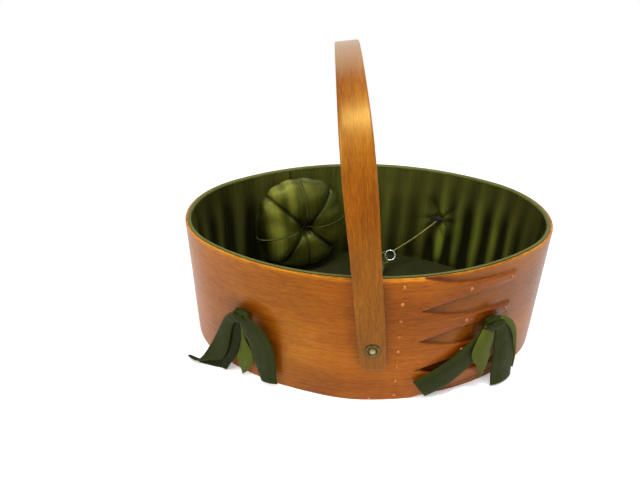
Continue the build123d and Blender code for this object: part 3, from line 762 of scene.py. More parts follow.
wear = 1 - 0.018 * (1 + wander(path_h[:, None] * 70, turn[None, :] * 1.5, seed=12)) / 2
side_by = (width[:, None] / 2) * across * wear
out_by = (thick[:, None] / 2) * through_y
handle_y = handle_middle_y + path_y[:, None] + out_y[:, None] * out_by
handle_h = path_h[:, None] + out_h[:, None] * out_by
lean_c, lean_s = cos(HANDLE_LEAN), sin(HANDLE_LEAN)
handle_points = np.stack(
    [side_by * lean_c - handle_h * lean_s, handle_y, PIVOT_HEIGHT + handle_h * lean_c + side_by * lean_s],
    -1
)
along = np.concatenate([[0], np.cumsum(np.hypot(np.diff(path_y), np.diff(path_h)))])
step_across = np.diff(across, prepend=across[0]) * 0.01
step_through = np.diff(through_y, prepend=through_y[0]) * 0.0019
around = np.append(np.cumsum(np.hypot(step_across, step_through)), 0.048)
handle_uv = np.stack(np.meshgrid(along, around, indexing="ij")[::-1], -1)
rise = np.broadcast_to(path_h[:, None], side_by.shape)
deep = bell(rise - 0.088, 0.032)
# painted reflection on the top of the bow, with a wavy lower edge
crown_reflection = smooth(0.160, 0.173, rise + 0.004 * wander(side_by * 260, rise * 60, seed=14))
handle_fields = {"deep": deep, "crown_reflection": crown_reflection}
handle_mesh = closed_grid("handle_bent", handle_points, uv=handle_uv, fields=handle_fields)
add_piece(
    "handle_bent", handle_mesh, handle_wood, body="handle", stands_for=["handle"]
)

# ---------------------------------------------------------------- satin lining, gathered round the wall
def pleat_phase(s, z):
    """Counts pleats along the wall. They are broad at the back middle, closer at the right and left."""
    at = np.linspace(0, PERIMETER, 1500)
    pitch = (
        0.0175 + 0.011 * bell(at - 0.385, 0.036) + 0.006 * smooth(0.45, 0.50, at) * smooth(0.62, 0.58, at)
    )
    pitch = pitch * (1 + 0.20 * wander(at * 75, seed=176))
    count = np.concatenate([[0], np.cumsum(1 / pitch[1:])]) * (at[1] - at[0])
    count *= round(count[-1]) / count[-1]
    slant = (0.0022 + 0.0030 * smooth(0.04, 0.09, z)) * wander(s * 16, z * 26, seed=21)
    slant = slant * np.sin(pi * np.clip(s / PERIMETER, 0, 1))
    return np.interp(s + slant, at, count - np.interp(LINING_SEAM, at, count))


lining_s = np.linspace(0, PERIMETER, 1100, endpoint=False)
lining_z = np.linspace(LINING_FOOT, LINING_TOP, 64)
S, Z = np.meshgrid(lining_s, lining_z, indexing="ij")
phase = pleat_phase(S, Z)
ridge = np.abs(np.sin(pi * phase)) ** 0.75
bold = (
    0.42 + 0.75 * smooth(0.19, 0.22, S) * smooth(0.318, 0.300, S)
    + 0.40 * smooth(0.455, 0.49, S) * smooth(0.62, 0.58, S)
)
depth = 0.0030 * bold * (0.85 + 0.30 * wander(S * 26, Z * 14, seed=22))
puffs = 0.0008 * wander(S * 70, Z * 55, seed=23)
fold = ridge * depth + puffs + 0.0004 * wander(S * 260, Z * 60, seed=24)
fade = smooth(0.094, 0.052, Z)
dim = 1 - 0.55 * smooth(0.238, 0.205, S)
# painted light: pleat ridges lighter and valleys darker, with less contrast at the right and towards the top
painted_pleat_light = (
    0.40 + dim * bold * (0.20 + 0.80 * fade) * (0.85 * ridge**3.5 - 0.42)
    + 0.14 * wander(S * 40, Z * 22, seed=27)
)
# painted light and shade: a little lighter towards the top, darker near the floor and at the right end
painted_pleat_light += (
    0.07 * smooth(0.05, 0.095, Z) - 0.20 * smooth(0.045, 0.006, Z)
    - 0.16 * smooth(0.245, 0.205, S) * smooth(0.0, 0.1, S)
)
knot_places = [(back_s(0.0780), 1.0), (back_s(-0.0654), 0.8), (right_hole, 0.8), (left_hole, 0.8)]
for knot_s, strength in knot_places:
    ds, dz = S - knot_s, Z - TIE_HEIGHT
    reach = np.hypot(ds, dz)
    bearing = np.arctan2(dz, ds)
    rays = np.abs(
        np.sin(3.0 * bearing + 0.7 * np.sin(2 * bearing + 1.0) + 1.2 * wander(reach * 70, seed=25))
    ) ** 0.6
    near = np.exp(-((reach / (0.013 + 0.007 * np.abs(np.sin(bearing)))) ** 2)) * strength
    fold = fold * (1 - near) + near * (0.0026 * rays * smooth(0.001, 0.008, reach) - 0.0006)
    fold -= 0.0010 * bell(reach, 0.004) * strength
    # painted light: the folds spreading from each knot are lit along their rays and shaded between
    painted_pleat_light = painted_pleat_light * (1 - 0.8 * near) + 0.8 * near * (0.15 + 0.75 * rays * smooth(0.002, 0.010, reach))
seam_edge = smooth(LINING_SEAM, LINING_SEAM + 0.0008, S) * smooth(0.475, 0.452, S)
fold = fold + 0.0012 * seam_edge
# a raised fold below the back right knot, with a painted highlight on it
below = bell(S - back_s(0.0780) + 0.0045, 0.0035) * smooth(0.050, 0.044, Z) * smooth(0.006, 0.02, Z)
fold, painted_pleat_light = fold + 0.0012 * below, painted_pleat_light + 0.75 * below
# painted shade at the left end and the right end
painted_pleat_light = (
    painted_pleat_light - 0.30 * smooth(0.46, 0.52, S) * smooth(0.70, 0.60, S)
    - 0.35 * smooth(0.20, 0.17, S) * smooth(0.0, 0.05, S)
)
hold = smooth(LINING_TOP, 0.062, Z) * 0.88 + 0.12
foot_hold = smooth(0.002, 0.012, Z) * 0.8 + 0.2
gather = 0.0005 * np.abs(np.sin(pi * phase * 5 + wander(S * 90, seed=26))) * smooth(0.082, 0.0965, Z)
inset = 0.0041 + np.maximum(fold, -0.0002) * hold * foot_hold + gather + 0.0005 * seam_edge
inset = np.maximum(inset, 0.0051 * smooth(0.0085, 0.0055, Z))
# a darker line down the seam
painted_pleat_light -= 0.5 * bell(S - LINING_SEAM, 0.0006) * smooth(0.070, 0.085, Z)
lining_points = wall(S, Z, -inset)
lining_uv = uv_grid(np.append(lining_s, PERIMETER), lining_z)
# the fold attribute carries this painted light and shade into the satin's colour
lining_mesh = grid(
    "lining_gathered", lining_points, wrap=(True, False), uv=lining_uv,
    fields={"fold": np.clip(painted_pleat_light, 0, 1)}
)
lining = add_piece("lining_gathered", lining_mesh, side_satin, stands_for=["side_lining"])

# rolled edge along the top
piping_s = np.linspace(0, PERIMETER, 620, endpoint=False)
roll = [
    (1.9, 100.15), (2.1, 100.45), (2.7, 100.65), (3.5, 100.5), (4.2, 100.0), (4.6, 99.2), (4.6, 98.4),
    (4.2, 97.9)
]
roll += [(3.5, 97.8), (3.0, 98.2), (2.75, 99.2), (2.6, 100.1), (2.2, 100.1), (1.9, 100.15)]
roll = through([(x, z, 0) for x, z in roll], 27)[:-1] * MM
S, T = np.meshgrid(piping_s, full_turn(26), indexing="ij")
pucker = 0.00010 * wander(S * 420 + T * 0.6, T, seed=31) + 0.00014 * wander(S * 60, T, seed=32)
piping_points = wall(
    S, roll[:, 1] + 0.6 * pucker * (roll[:, 1] > 0.1004), -roll[:, 0] - pucker * (roll[:, 0] > 0.0034)
)
piping_uv = uv_grid(np.append(piping_s, PERIMETER), np.linspace(0, 0.012, 27))
piping_mesh = grid("rim_roll", piping_points, wrap=(True, True), uv=piping_uv)
piping = add_piece("rim_roll", piping_mesh, piping_satin, stands_for=["rim_piping"])

# floor pad
pad_rows, pad_columns = 60, 220
share = np.linspace(0, 1, pad_rows) ** 0.8
pad_s = np.linspace(0, PERIMETER, pad_columns, endpoint=False)
rim_line = wall(pad_s, 0.0, -(FLOOR_INSET - 0.0004))
plan = rim_line[None, :, :2] * share[1:, None, None]
top_z = (
    PAD_TOP + 0.0007 * (1 - share[1:] ** 6)[:, None]
    + 0.00035 * wander(plan[..., 0] * 90, plan[..., 1] * 90, seed=41)
)
top_z = np.where(share[1:, None] > 0.94, top_z - 0.0016 * ((share[1:, None] - 0.94) / 0.06) ** 2, top_z)
top = np.concatenate([plan, top_z[..., None]], -1)
under = np.concatenate([plan[::-1], np.full(top_z.shape, PAD_BOTTOM)[..., None]], -1)
pad_points = np.concatenate([top, under], 0)
pad_uv = np.concatenate([pad_points[..., :2], pad_points[:, :1, :2]], 1)
pad_mesh = closed_grid("floor_quilt", pad_points, uv=pad_uv)
pad = add_piece("floor_quilt", pad_mesh, floor_satin, stands_for=["floor_pad"])

# ---------------------------------------------------------------- pincushion: a tufted satin pumpkin
CUSHION = np.array([-0.05604, 0.06422, 0.0542])
CUSHION_AXIS = np.array([0.3727, -0.9147, 0.1564])
CUSHION_RIGHT = np.array([0.9261, 0.3773, 0.0])
CUSHION_UP = np.array([-0.0590, 0.1449, 0.9877])
CUSHION_RADIUS, CUSHION_HALF = 0.0438, 0.016
SEAMS = [(134, 1.0), (230, 1.0), (317, 1.0), (49, 0.9), (91, 0.42), (270, 0.50), (3, 0.10), (188, 0.10)]
BUTTON = np.array([0.0036, -0.0040])
frame_axes = np.stack([CUSHION_RIGHT, CUSHION_UP, CUSHION_AXIS])


def from_seam(bearing, reach, degrees):
    """Distance from a seam at the given bearing, or 1 on the far side of the button."""
    gap = np.abs((bearing - radians(degrees) + pi) % (2 * pi) - pi)
    return np.where(gap < pi / 2, reach * np.sin(np.minimum(gap, pi / 2)), 1.0)


def seam_pull(u, v, w):
    """How strongly each point is held by a seam, from 0 to 1."""
    u, v = u - BUTTON[0] * smooth(-0.004, 0.010, w), v - BUTTON[1] * smooth(-0.004, 0.010, w)
    bearing, reach = np.arctan2(v, u), np.hypot(u, v)
    pull = np.zeros_like(reach)
    for degrees, strength in SEAMS:
        away = from_seam(bearing, reach, degrees)
        pull = np.maximum(pull, strength * bell(away, 0.0022))
    return pull


def cushion_start():
    sides, rings = 96, 40
    turn = full_turn(sides)[None, :]
    rise = np.linspace(-pi / 2, pi / 2, rings)[1:-1, None]
    square = 1 - 0.022 * np.cos(4 * turn)
    reach = (CUSHION_RADIUS - 0.0004) * square * np.cos(rise) ** 0.72
    w = (CUSHION_HALF - 0.0022) * np.sign(np.sin(rise)) * np.abs(np.sin(rise)) ** 0.85
    points = np.stack([reach * np.cos(turn), reach * np.sin(turn), np.broadcast_to(w, reach.shape)], -1)
    mesh = grid("cushion_start", points, wrap=(False, True))
    close_ends(mesh)
    return mesh


cushion_mesh = cushion_start()
cushion = bpy.data.objects.new("cushion_stuffed", cushion_mesh)
bpy.context.scene.collection.objects.link(cushion)
bpy.context.view_layer.objects.active = cushion


def apply_all(piece):
    bpy.context.view_layer.update()
    evaluated = piece.evaluated_get(bpy.context.evaluated_depsgraph_get())
    baked = bpy.data.meshes.new_from_object(evaluated)
    piece.modifiers.clear()
    piece.data = baked


remesh = cushion.modifiers.new("remesh", "REMESH")
remesh.mode = "VOXEL"
remesh.voxel_size = 0.0036
apply_all(cushion)
before = np.array([v.co for v in cushion.data.vertices])
held = cushion.vertex_groups.new(name="held")
pulls = seam_pull(*before.T)
for index, pull in enumerate(pulls):
    if pull > 0.35:
        held.add([index], float(min(pull, 1.0)), "REPLACE")
cloth = cushion.modifiers.new("cloth", "CLOTH")
cloth.settings.use_pressure = True
cloth.settings.uniform_pressure_force = 4.0
cloth.settings.vertex_group_mass = "held"
cloth.settings.mass = 0.2
cloth.settings.tension_stiffness = cloth.settings.compression_stiffness = 12
cloth.settings.bending_stiffness = 0.4
cloth.settings.shrink_min = -0.05
cloth.settings.effector_weights.gravity = 0
for step in range(1, 21):
    bpy.context.scene.frame_set(step)
apply_all(cushion)
after = np.array([v.co for v in cushion.data.vertices])
moved = after - before
far = np.linalg.norm(moved, axis=1, keepdims=True)
after = before + moved * np.minimum(1, 0.0035 / np.maximum(far, 1e-9))
cushion.data.vertices.foreach_set("co", after.ravel())
bpy.context.scene.frame_set(1)
relax = cushion.modifiers.new("relax", "SMOOTH")
relax.factor, relax.iterations = 0.5, 8
divide = cushion.modifiers.new("divide", "SUBSURF")
divide.levels = divide.render_levels = 2
apply_all(cushion)
cushion_mesh = cushion.data
local = np.array([v.co for v in cushion_mesh.vertices])
u, v, w = local.T
outer_bearing = np.arctan2(v, u)
u, v = u - BUTTON[0] * smooth(-0.004, 0.010, w), v - BUTTON[1] * smooth(-0.004, 0.010, w)
reach = np.hypot(u, v)
bearing = np.arctan2(v, u)
outward = unit(np.stack([u * 0.5, v * 0.5, w * 2.2], -1))
sink = np.zeros(len(u))
for degrees, strength in SEAMS:
    away = from_seam(bearing, reach, degrees)
    wide = 0.0030 + 0.06 * reach
    sink = np.maximum(sink, strength * (0.0022 * bell(away, 0.0011) + 0.0016 * bell(away, wide)))
sink *= 0.75 + 0.25 * smooth(0.004, 0.03, reach)
dimple = 0.0085 * bell(reach, 0.0065) + 0.0035 * bell(reach, 0.017)
puckers = 0.00020 * wander(bearing * 9, reach * 160, seed=51) * smooth(0.003, 0.012, reach)
local = local - outward * (sink - puckers)[:, None]
local[:, 2] -= np.sign(w) * dimple * smooth(0.0, 0.006, np.abs(w))
local[:, :2] *= 1.035
limit = CUSHION_RADIUS * (1 - 0.018 * np.cos(4 * outer_bearing)) + 0.0004
squeeze = np.minimum(1, limit / np.maximum(np.hypot(local[:, 0], local[:, 1]), 1e-9))
local[:, :2] *= squeeze[:, None]
local[:, 2] = np.clip(local[:, 2], -CUSHION_HALF, CUSHION_HALF + 0.0005)
# painted sheen: lighter vertical streaks across the satin
sheen_streaks = 0.70 * bell(local[:, 0] + 0.0245, 0.0062) + 0.25 * bell(local[:, 0] - 0.006, 0.006)
sheen_streaks += 0.75 * bell(local[:, 0] + 0.010, 0.0045) * smooth(0.0, 0.012, local[:, 1])
sheen_streaks = sheen_streaks * (0.8 + 0.3 * wander(local[:, 0] * 120, local[:, 1] * 40, seed=52)) * (w > -0.004)
# painted light and shade: the streaks lighter, seam grooves and the middle dimple darker
lit = (
    0.38 + 1.0 * sheen_streaks - sink / 0.0038 * 0.75 - 0.9 * bell(reach, 0.005)
    + 0.10 * wander(u * 90, v * 50, seed=53)
)
# painted shade towards the bottom and at the left edge
lit -= 0.10 * smooth(-0.010, -0.040, local[:, 1]) + 0.45 * smooth(-0.031, -0.038, local[:, 0])
# the fold attribute carries this painted light and shade into the satin's colour
shade = cushion_mesh.attributes.new("fold", "FLOAT", "POINT")
shade.data.foreach_set("value", np.clip(lit, 0, 1).astype(np.float32))
placed = CUSHION + local @ frame_axes
cushion_mesh.vertices.foreach_set("co", placed.ravel())
cushion_mesh.update()
cushion_mesh.shade_smooth()
for old in list(cushion_mesh.uv_layers):
    cushion_mesh.uv_layers.remove(old)
corner_vertex = np.zeros(len(cushion_mesh.loops), np.int32)
cushion_mesh.loops.foreach_get("vertex_index", corner_vertex)
laid = np.stack([local[:, 0] * (1 + 6 * np.abs(local[:, 2])), local[:, 1] + local[:, 2] * 0.6], -1)
cushion_mesh.uv_layers.new(name="UVMap").data.foreach_set(
    "uv", laid[corner_vertex].astype(np.float32).ravel()
)
cushion_mesh.materials.clear()
cushion_mesh.materials.append(cushion_satin)
cushion_mesh.name = cushion.name = "cushion_stuffed"
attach(cushion, "box")
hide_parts("pincushion")

tree_of_faces = BVHTree.FromPolygons(placed.tolist(), [list(p.vertices) for p in cushion_mesh.polygons])


def on_cushion(degrees, rise, lift):
    flat = cos(radians(degrees)) * CUSHION_RIGHT + sin(radians(degrees)) * CUSHION_UP
    direction = unit(cos(rise) * flat + sin(rise) * CUSHION_AXIS)
    button = smooth(0.0, 0.7, sin(rise)) * (BUTTON[0] * CUSHION_RIGHT + BUTTON[1] * CUSHION_UP)
    hit = tree_of_faces.ray_cast(Vector(CUSHION + button + direction * 0.09), Vector(-direction))[0]
    return np.array(hit) + direction * lift


thread_parts = []
for count, (degrees, strength) in enumerate(SEAMS):
    rises = np.concatenate([np.linspace(1.50, 0.5, 26), np.linspace(0.42, -1.45, 34)])
    drift = 2.2 * wander(rises * 1.3, seed=60 + count)
    path = np.array([on_cushion(degrees + d, r, 0.0002) for r, d in zip(rises, drift)])
    path[1:-1] = (path[:-2] + 2 * path[1:-1] + path[2:]) / 4
    thread_parts.append(tube("cushion_thread_%d" % count, path, 0.00038, sides=8))
dark_thread = felted("dark_thread", (0.004, 0.005, 0.001), (0.020, 0.022, 0.004), rough=0.7, grain=5200.0)
for count, mesh in enumerate(thread_parts):
    # painted shade: threads in the deep seams take the near-black dark_thread, as shadow lines in the grooves
    sunk_in_shade = SEAMS[count][1] > 0.45
    thread = add_piece(
        "cushion_thread_%d" % count, mesh, dark_thread if sunk_in_shade else thread_green
    )
    if count == 0:
        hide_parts("pincushion_threads")

# ---------------------------------------------------------------- ribbon ties
LAP_CLEAR = 0.0022
TABLE_CLEAR = 0.0004
LEFT_KNOT, RIGHT_KNOT = -0.090, 0.082


def ribbon(name, knot_s, course, finish, seed, bow=0.0010, ripple=0.0006, stands_for=()):
    """A ribbon over the wall. Its course lists, in mm, the place along from the knot, the height, the
    distance out and the width, and then any roll in degrees."""
    course = [(*point, 0)[:5] for point in course]
    guide = through(np.array(course, float), 46)
    centre, width, roll = guide[:, :3] * MM, guide[:, 3] * MM, np.radians(guide[:, 4])
    ahead = unit(np.gradient(centre[:, :2], axis=0))
    edge = np.stack([-ahead[:, 1] * np.cos(roll), ahead[:, 0] * np.cos(roll), -np.sin(roll)], -1)
    t = np.linspace(-0.5, 0.5, 11)[None, :, None]
    strip = centre[:, None] + t * width[:, None, None] * edge[:, None]
    run = np.concatenate([[0], np.cumsum(np.linalg.norm(np.diff(centre, axis=0), axis=1))])
    strip[..., 2] += (
        bow * (1 - 4 * t[..., 0] ** 2) + ripple * wander(run[:, None] * 130, t[..., 0] * 1.6, seed=seed)
    )
    points = wall(knot_s + strip[..., 0], strip[..., 1], np.maximum(strip[..., 2], LAP_CLEAR))
    points[..., 2] = np.maximum(points[..., 2], TABLE_CLEAR)
    mean_width = float(np.mean(width))
    uv = np.stack(np.broadcast_arrays(t[..., 0] * max(mean_width, 0.011), run[:, None]), -1)
    piece = add_piece(name, grid(name, points, uv=uv), finish, stands_for=stands_for)
    cloth = piece.modifiers.new("cloth_thickness", "SOLIDIFY")
    cloth.thickness, cloth.offset = 0.00028, 0


def ribbon_knot(name, knot_s, finish, seed):
    """A snug overhand knot: one lobe of ribbon crossing another, with folds."""
    half_along, half_high, half_out = 0.0063, 0.0056, 0.0042
    turn = full_turn(48)[None, :]
    rise = np.linspace(-pi / 2, pi / 2, 30)[1:-1, None]
    folds = (
        1 + 0.10 * np.sin(5 * turn + 3 * rise) * np.cos(rise)
        + 0.12 * wander(turn * 1.0, rise * 2, seed=seed)
    )
    along = half_along * np.cos(rise) ** 0.8 * np.cos(turn) * folds
    high = half_high * np.sign(np.sin(rise)) * np.abs(np.sin(rise)) ** 0.9 * folds
    out = half_out * np.cos(rise) ** 0.8 * np.sin(turn) * folds
    waist = 1 - 0.25 * np.exp(-((along / (0.35 * half_along) - 0.4 * high / half_high) ** 2) * 6)
    points = wall(knot_s + along * waist, TIE_HEIGHT + 0.004 + high, np.maximum(0.0051 + out, 0.0006))
    uv = np.stack(
        np.meshgrid(np.linspace(0, 0.014, 29), np.linspace(-0.005, 0.005, 49), indexing="ij")[::-1], -1
    )
    mesh = closed_grid(name, points, uv=uv)
    add_piece(name, mesh, finish)


LEFT_OUTER = [
    (2, 57, 6, 6), (-4, 56, 8, 7), (-10, 50, 7, 8), (-14, 41, 7, 10), (-18, 29, 8, 13),
    (-23, 17, 10, 13, 10)
]
LEFT_CURL = [(-30, 7, 12, 11, 35), (-38, 2, 15, 7, 60), (-47, 2, 18, 2, 70)]
LEFT_TUCK = [(-38, 1, 15, 2), (-31, 2, 12, 4), (-25, 3, 9, 6), (-19, 5, 7, 7)]
LEFT_BEHIND = [
    (-3, 53, 5, 8), (-6, 43, 5, 11), (-9, 33, 5, 11), (-13, 20, 6, 11), (-18, 8, 7, 8), (-20, 2, 8, 6)
]
LEFT_LEAF = [
    (0, 52, 4, 4), (-1, 44, 4, 4), (-1, 36, 4, 5), (-1, 28, 4, 11), (-1, 20, 5, 16), (-2, 10, 5, 9),
    (-4, 2, 4, 1)
]
LEFT_INNER = [
    (-1, 59, 6, 6), (4, 56, 8, 12), (10, 50, 8, 17), (14, 42, 7, 18), (16, 31, 6, 18), (17, 17, 5, 16),
    (19, 4, 5, 13)
]
LEFT_WRAP = [(-8, 54, 6, 6), (-4, 58, 9, 5), (0, 58, 10, 6), (5, 55, 8, 6), (6, 51, 6, 6)]
RIGHT_LONG = [
    (-2, 55, 6, 9), (-8, 45, 6, 15), (-16, 33, 5, 18), (-26, 24, 5, 20), (-37, 17, 5, 20),
    (-48, 10, 4, 19)
]
RIGHT_LEAF = [
    (0, 59, 6, 8), (-3, 53, 7, 12), (-6, 44, 8, 14), (-7, 37, 8, 15), (-4, 27, 8, 11), (-2, 15, 6, 4),
    (-2, 10, 5, 1)
]
RIGHT_WIDE = [
    (0, 61, 6, 5), (4, 59, 8, 9), (8, 52, 8, 13), (12, 40, 8, 18), (14, 25, 9, 21), (15, 12, 9, 21),
    (15, 2, 10, 20)
]
RIGHT_BEHIND = [(6, 56, 5, 7), (4, 48, 5, 5), (3, 39, 5, 4), (3, 29, 4, 4)]
RIGHT_FOLD = [
    (3, 63, 8, 3), (9, 59, 10, 4), (16, 49, 11, 4), (21, 36, 10, 3), (24, 23, 10, 1), (25, 10, 10, 0.5)
]
RIGHT_WRAP = [(-7, 53, 6, 6), (-3, 57, 9, 6), (1, 58, 10, 7), (5, 57, 10, 6), (6, 53, 7, 5)]

ribbon(
    "left_tie_outer", LEFT_KNOT, LEFT_OUTER + LEFT_CURL, ribbon_green, 71,
    stands_for=["front_left_ribbon"]
)
# the tucked and hidden parts use the near-black copy, painted shade
ribbon("left_tie_tucked", LEFT_KNOT, LEFT_TUCK, ribbon_in_shade, 72)
ribbon("left_tie_behind", LEFT_KNOT, LEFT_BEHIND, ribbon_in_shade, 87)
ribbon("left_tie_wrap", LEFT_KNOT, LEFT_WRAP, ribbon_green, 88)
ribbon("left_tie_leaf", LEFT_KNOT, LEFT_LEAF, ribbon_light, 73)
ribbon("left_tie_inner", LEFT_KNOT, LEFT_INNER, ribbon_green, 74)
ribbon_knot("left_tie_knot", LEFT_KNOT, ribbon_green, 75)

ribbon("right_tie_long", RIGHT_KNOT, RIGHT_LONG, ribbon_green, 76, stands_for=["front_right_ribbon"])
ribbon("right_tie_leaf", RIGHT_KNOT, RIGHT_LEAF, ribbon_light, 77, bow=0.0016)
ribbon("right_tie_wide", RIGHT_KNOT, RIGHT_WIDE, ribbon_green, 78, bow=0.0018)
# painted shade: the part behind the knot uses the near-black copy
ribbon("right_tie_behind", RIGHT_KNOT, RIGHT_BEHIND, ribbon_in_shade, 89)
ribbon("right_tie_fold", RIGHT_KNOT, RIGHT_FOLD, ribbon_light, 90, ripple=0.0003)
ribbon("right_tie_wrap", RIGHT_KNOT, RIGHT_WRAP, ribbon_green, 93)
ribbon_knot("right_tie_knot", RIGHT_KNOT, ribbon_green, 79)

back_left, back_right = back_s(-0.0654), back_s(0.0780)
away_from_handle = [(-along, *rest) for along, *rest in LEFT_OUTER]
ribbon(
    "back_left_tie_outer", back_left, away_from_handle, ribbon_green, 81, stands_for=["back_left_ribbon"]
)
ribbon("back_left_tie_inner", back_left, LEFT_LEAF, ribbon_green, 82)
ribbon_knot("back_left_tie_knot", back_left, ribbon_green, 83)
ribbon("back_right_tie_long", back_right, RIGHT_LONG, ribbon_green, 84, stands_for=["back_right_ribbon"])
ribbon("back_right_tie_wide", back_right, RIGHT_WIDE, ribbon_green, 85, bow=0.0016)
ribbon_knot("back_right_tie_knot", back_right, ribbon_green, 86)

# ---------------------------------------------------------------- knot that holds the tether to the lining
KNOT = np.array([0.074445, 0.074403, 0.053])
knot_in = unit(np.array([-0.55, -0.83, 0.0]))
knot_side = np.array([0.83, -0.55, 0.0])


def from_knot(side, up, inward):
    return in_axes(KNOT, knot_side, knot_in, side, inward, up)


spin = full_turn(90)
bight = 0.0019 + 0.0009 * np.cos(3 * spin)
knot_mesh = tube(
    "tether_tuck",
    from_knot(bight * np.cos(2 * spin), bight * np.sin(2 * spin), 0.0009 * np.sin(3 * spin)), 0.0011,
    sides=8, closed=True
)
add_piece("tether_tuck", knot_mesh, dark_thread, stands_for=["tether_knot"])
for count, ends in enumerate(
    [
        [(0, 0, 0), (0.0034, 0.0026, 0.0014), (0.0074, 0.0010, 0.0012), (0.0086, -0.0024, 0.0010)],
        [(0, 0, 0), (-0.0034, 0.0036, 0.0014), (-0.0064, 0.0004, 0.0020), (-0.0040, -0.0036, 0.0018)],
        [(0, 0, 0), (-0.0036, -0.0040, 0.0024), (-0.0070, -0.0080, 0.0030), (-0.0088, -0.0118, 0.0026)],
    ]
):
    path = through([from_knot(*e) for e in ends], 22)
    mesh = tube("tether_end_%d" % count, path, np.linspace(0.0010, 0.0005, 22), sides=7)
    add_piece("tether_end_%d" % count, mesh, dark_thread)

# ---------------------------------------------------------------- strawberry emery on the ring
CAP = np.array([0.0205, 0.0475, 0.0198])
emery_ahead = unit(np.array([-0.93, -0.37, 0.0]))
emery_across = np.array([-emery_ahead[1], emery_ahead[0], 0.0])


def on_emery(forward, turn, reach):
    return in_axes(CAP, emery_ahead, emery_across, forward, reach * np.cos(turn), reach * np.sin(turn))


BERRY_RADIUS, BERRY_LENGTH = 0.0129, 0.033


def berry_radius(at):
    """Radius of the strawberry at a share of its length from the cap."""
    return BERRY_RADIUS * (np.sin(pi * at**0.72)) ** 0.62 * (1 - 0.10 * at)


steps = np.linspace(0, 1, 40)[1:-1, None]
turn = full_turn(60)[None, :]
berry_reach = berry_radius(steps)
berry_reach = (
    berry_reach * (1 + 0.02 * np.cos(turn * 6) * smooth(0.5, 0.1, steps))
    + 0.0002 * wander(steps * 9, turn * 2, seed=91)
)
berry_points = on_emery(BERRY_LENGTH * steps - 0.0006, turn, berry_reach)
berry_points[..., 2] = np.maximum(berry_points[..., 2], 0.0070)
berry_uv = uv_grid(np.linspace(0, 0.036, 39), np.linspace(0, 0.078, 61))
berry_mesh = closed_grid("emery_berry", berry_points, uv=berry_uv)
berry = add_piece("emery_berry", berry_mesh, emery_silk, stands_for=["emery"])
stitch_verts, stitch_faces = [], []
for row in range(6):
    at = 0.25 + row * 0.115
    for count in range(9):
        angle = 2 * pi * (count + 0.5 * (row % 2)) / 9
        base = berry_radius(at)
        here = on_emery(BERRY_LENGTH * at, angle, base + 0.0004)
        there = on_emery(BERRY_LENGTH * at + 0.0020, angle, base + 0.00035)
        from_axis = here - CAP - emery_ahead * BERRY_LENGTH * at
        if here[2] < 0.0078:
            continue
        wide = unit(np.cross(there - here, from_axis)) * 0.00032
        lift = unit(from_axis) * 0.00035
        start = len(stitch_verts)
        stitch_verts += [here - wide, here + lift, here + wide, there - wide, there + lift, there + wide]
        stitch_faces += [
            [start, start + 1, start + 4, start + 3], [start + 1, start + 2, start + 5, start + 4]
        ]
seed_mesh = bpy.data.meshes.new("emery_seeds")
seed_mesh.from_pydata([tuple(v) for v in stitch_verts], [], stitch_faces)
gold_thread = felted("gold_thread", (0.45, 0.30, 0.05), (0.65, 0.46, 0.10), rough=0.55, grain=5200.0)
add_piece("emery_seeds", seed_mesh, gold_thread)

lobes = full_turn(96)[None, :]
out_share = np.linspace(0.02, 1, 26)[:, None]
leaf = 0.45 + 0.55 * np.abs(np.cos(2.5 * lobes)) ** 0.9
cap_reach = out_share * 0.0118 * leaf
cap_forward = -0.0022 + 0.0078 * (out_share * leaf) ** 1.7 - 0.0006 * np.cos(10 * lobes) * out_share
along_berry = np.clip((cap_forward + 0.0006) / BERRY_LENGTH, 0.0, 1)
hug = BERRY_RADIUS * np.sin(pi * along_berry**0.72) ** 0.62 + 0.0009
cap_reach = np.maximum(cap_reach, np.minimum(hug, 0.0135) * smooth(0.45, 0.8, out_share * leaf))
cap_points = on_emery(cap_forward, lobes, cap_reach)
cap_points[..., 2] = np.maximum(cap_points[..., 2], 0.0073)
cap_mesh = grid("emery_leaves", cap_points, wrap=(False, True))
leaves = add_piece("emery_leaves", cap_mesh, cap_felt, stands_for=["emery_cap"])
felt_thickness = leaves.modifiers.new("felt_thickness", "SOLIDIFY")
felt_thickness.thickness, felt_thickness.offset = 0.0009, 1
stem_path = through(
    [
        CAP - emery_ahead * 0.0015, CAP - emery_ahead * 0.006 + UP * 0.0012,
        np.array([0.0255, 0.0545, 0.0228]), np.array([0.0268, 0.0562, 0.0212])
    ],
    26
)
stem = add_piece(
    "emery_stem", tube("emery_stem", stem_path, 0.0008, sides=9), thread_green
)

loop_routes = [
    [
        (0.0262, 0.0556, 0.0232), (0.0238, 0.0545, 0.0290), (0.0208, 0.0530, 0.0286),
        (0.0212, 0.0528, 0.0232), (0.0252, 0.0548, 0.0212)
    ],
    [
        (0.0262, 0.0556, 0.0226), (0.0250, 0.0548, 0.0186), (0.0226, 0.0536, 0.0150),
        (0.0232, 0.0532, 0.0116)
    ],
    [(0.0258, 0.0556, 0.0228), (0.0266, 0.0546, 0.0176), (0.0254, 0.0540, 0.0136)],
]
for count, loop in enumerate(loop_routes):
    mesh = tube("emery_bow_%d" % count, through(loop, 36), np.linspace(0.0008, 0.0006, 36), sides=8)
    add_piece("emery_bow_%d" % count, mesh, thread_green)

# ---------------------------------------------------------------- needle book and beeswax
BOOK = np.array([-0.0881069, -0.0682077, 0.053])
book_x = np.array([0.848957, -0.528462, 0.0])
book_in = np.array([0.528462, 0.848957, 0.0])
BOOK_W, BOOK_H, BOOK_T, COVER_T = 0.042, 0.050, 0.009, 0.0017


def on_book(x, z, depth):
    return in_axes(BOOK, book_x, book_in, x, depth, z)


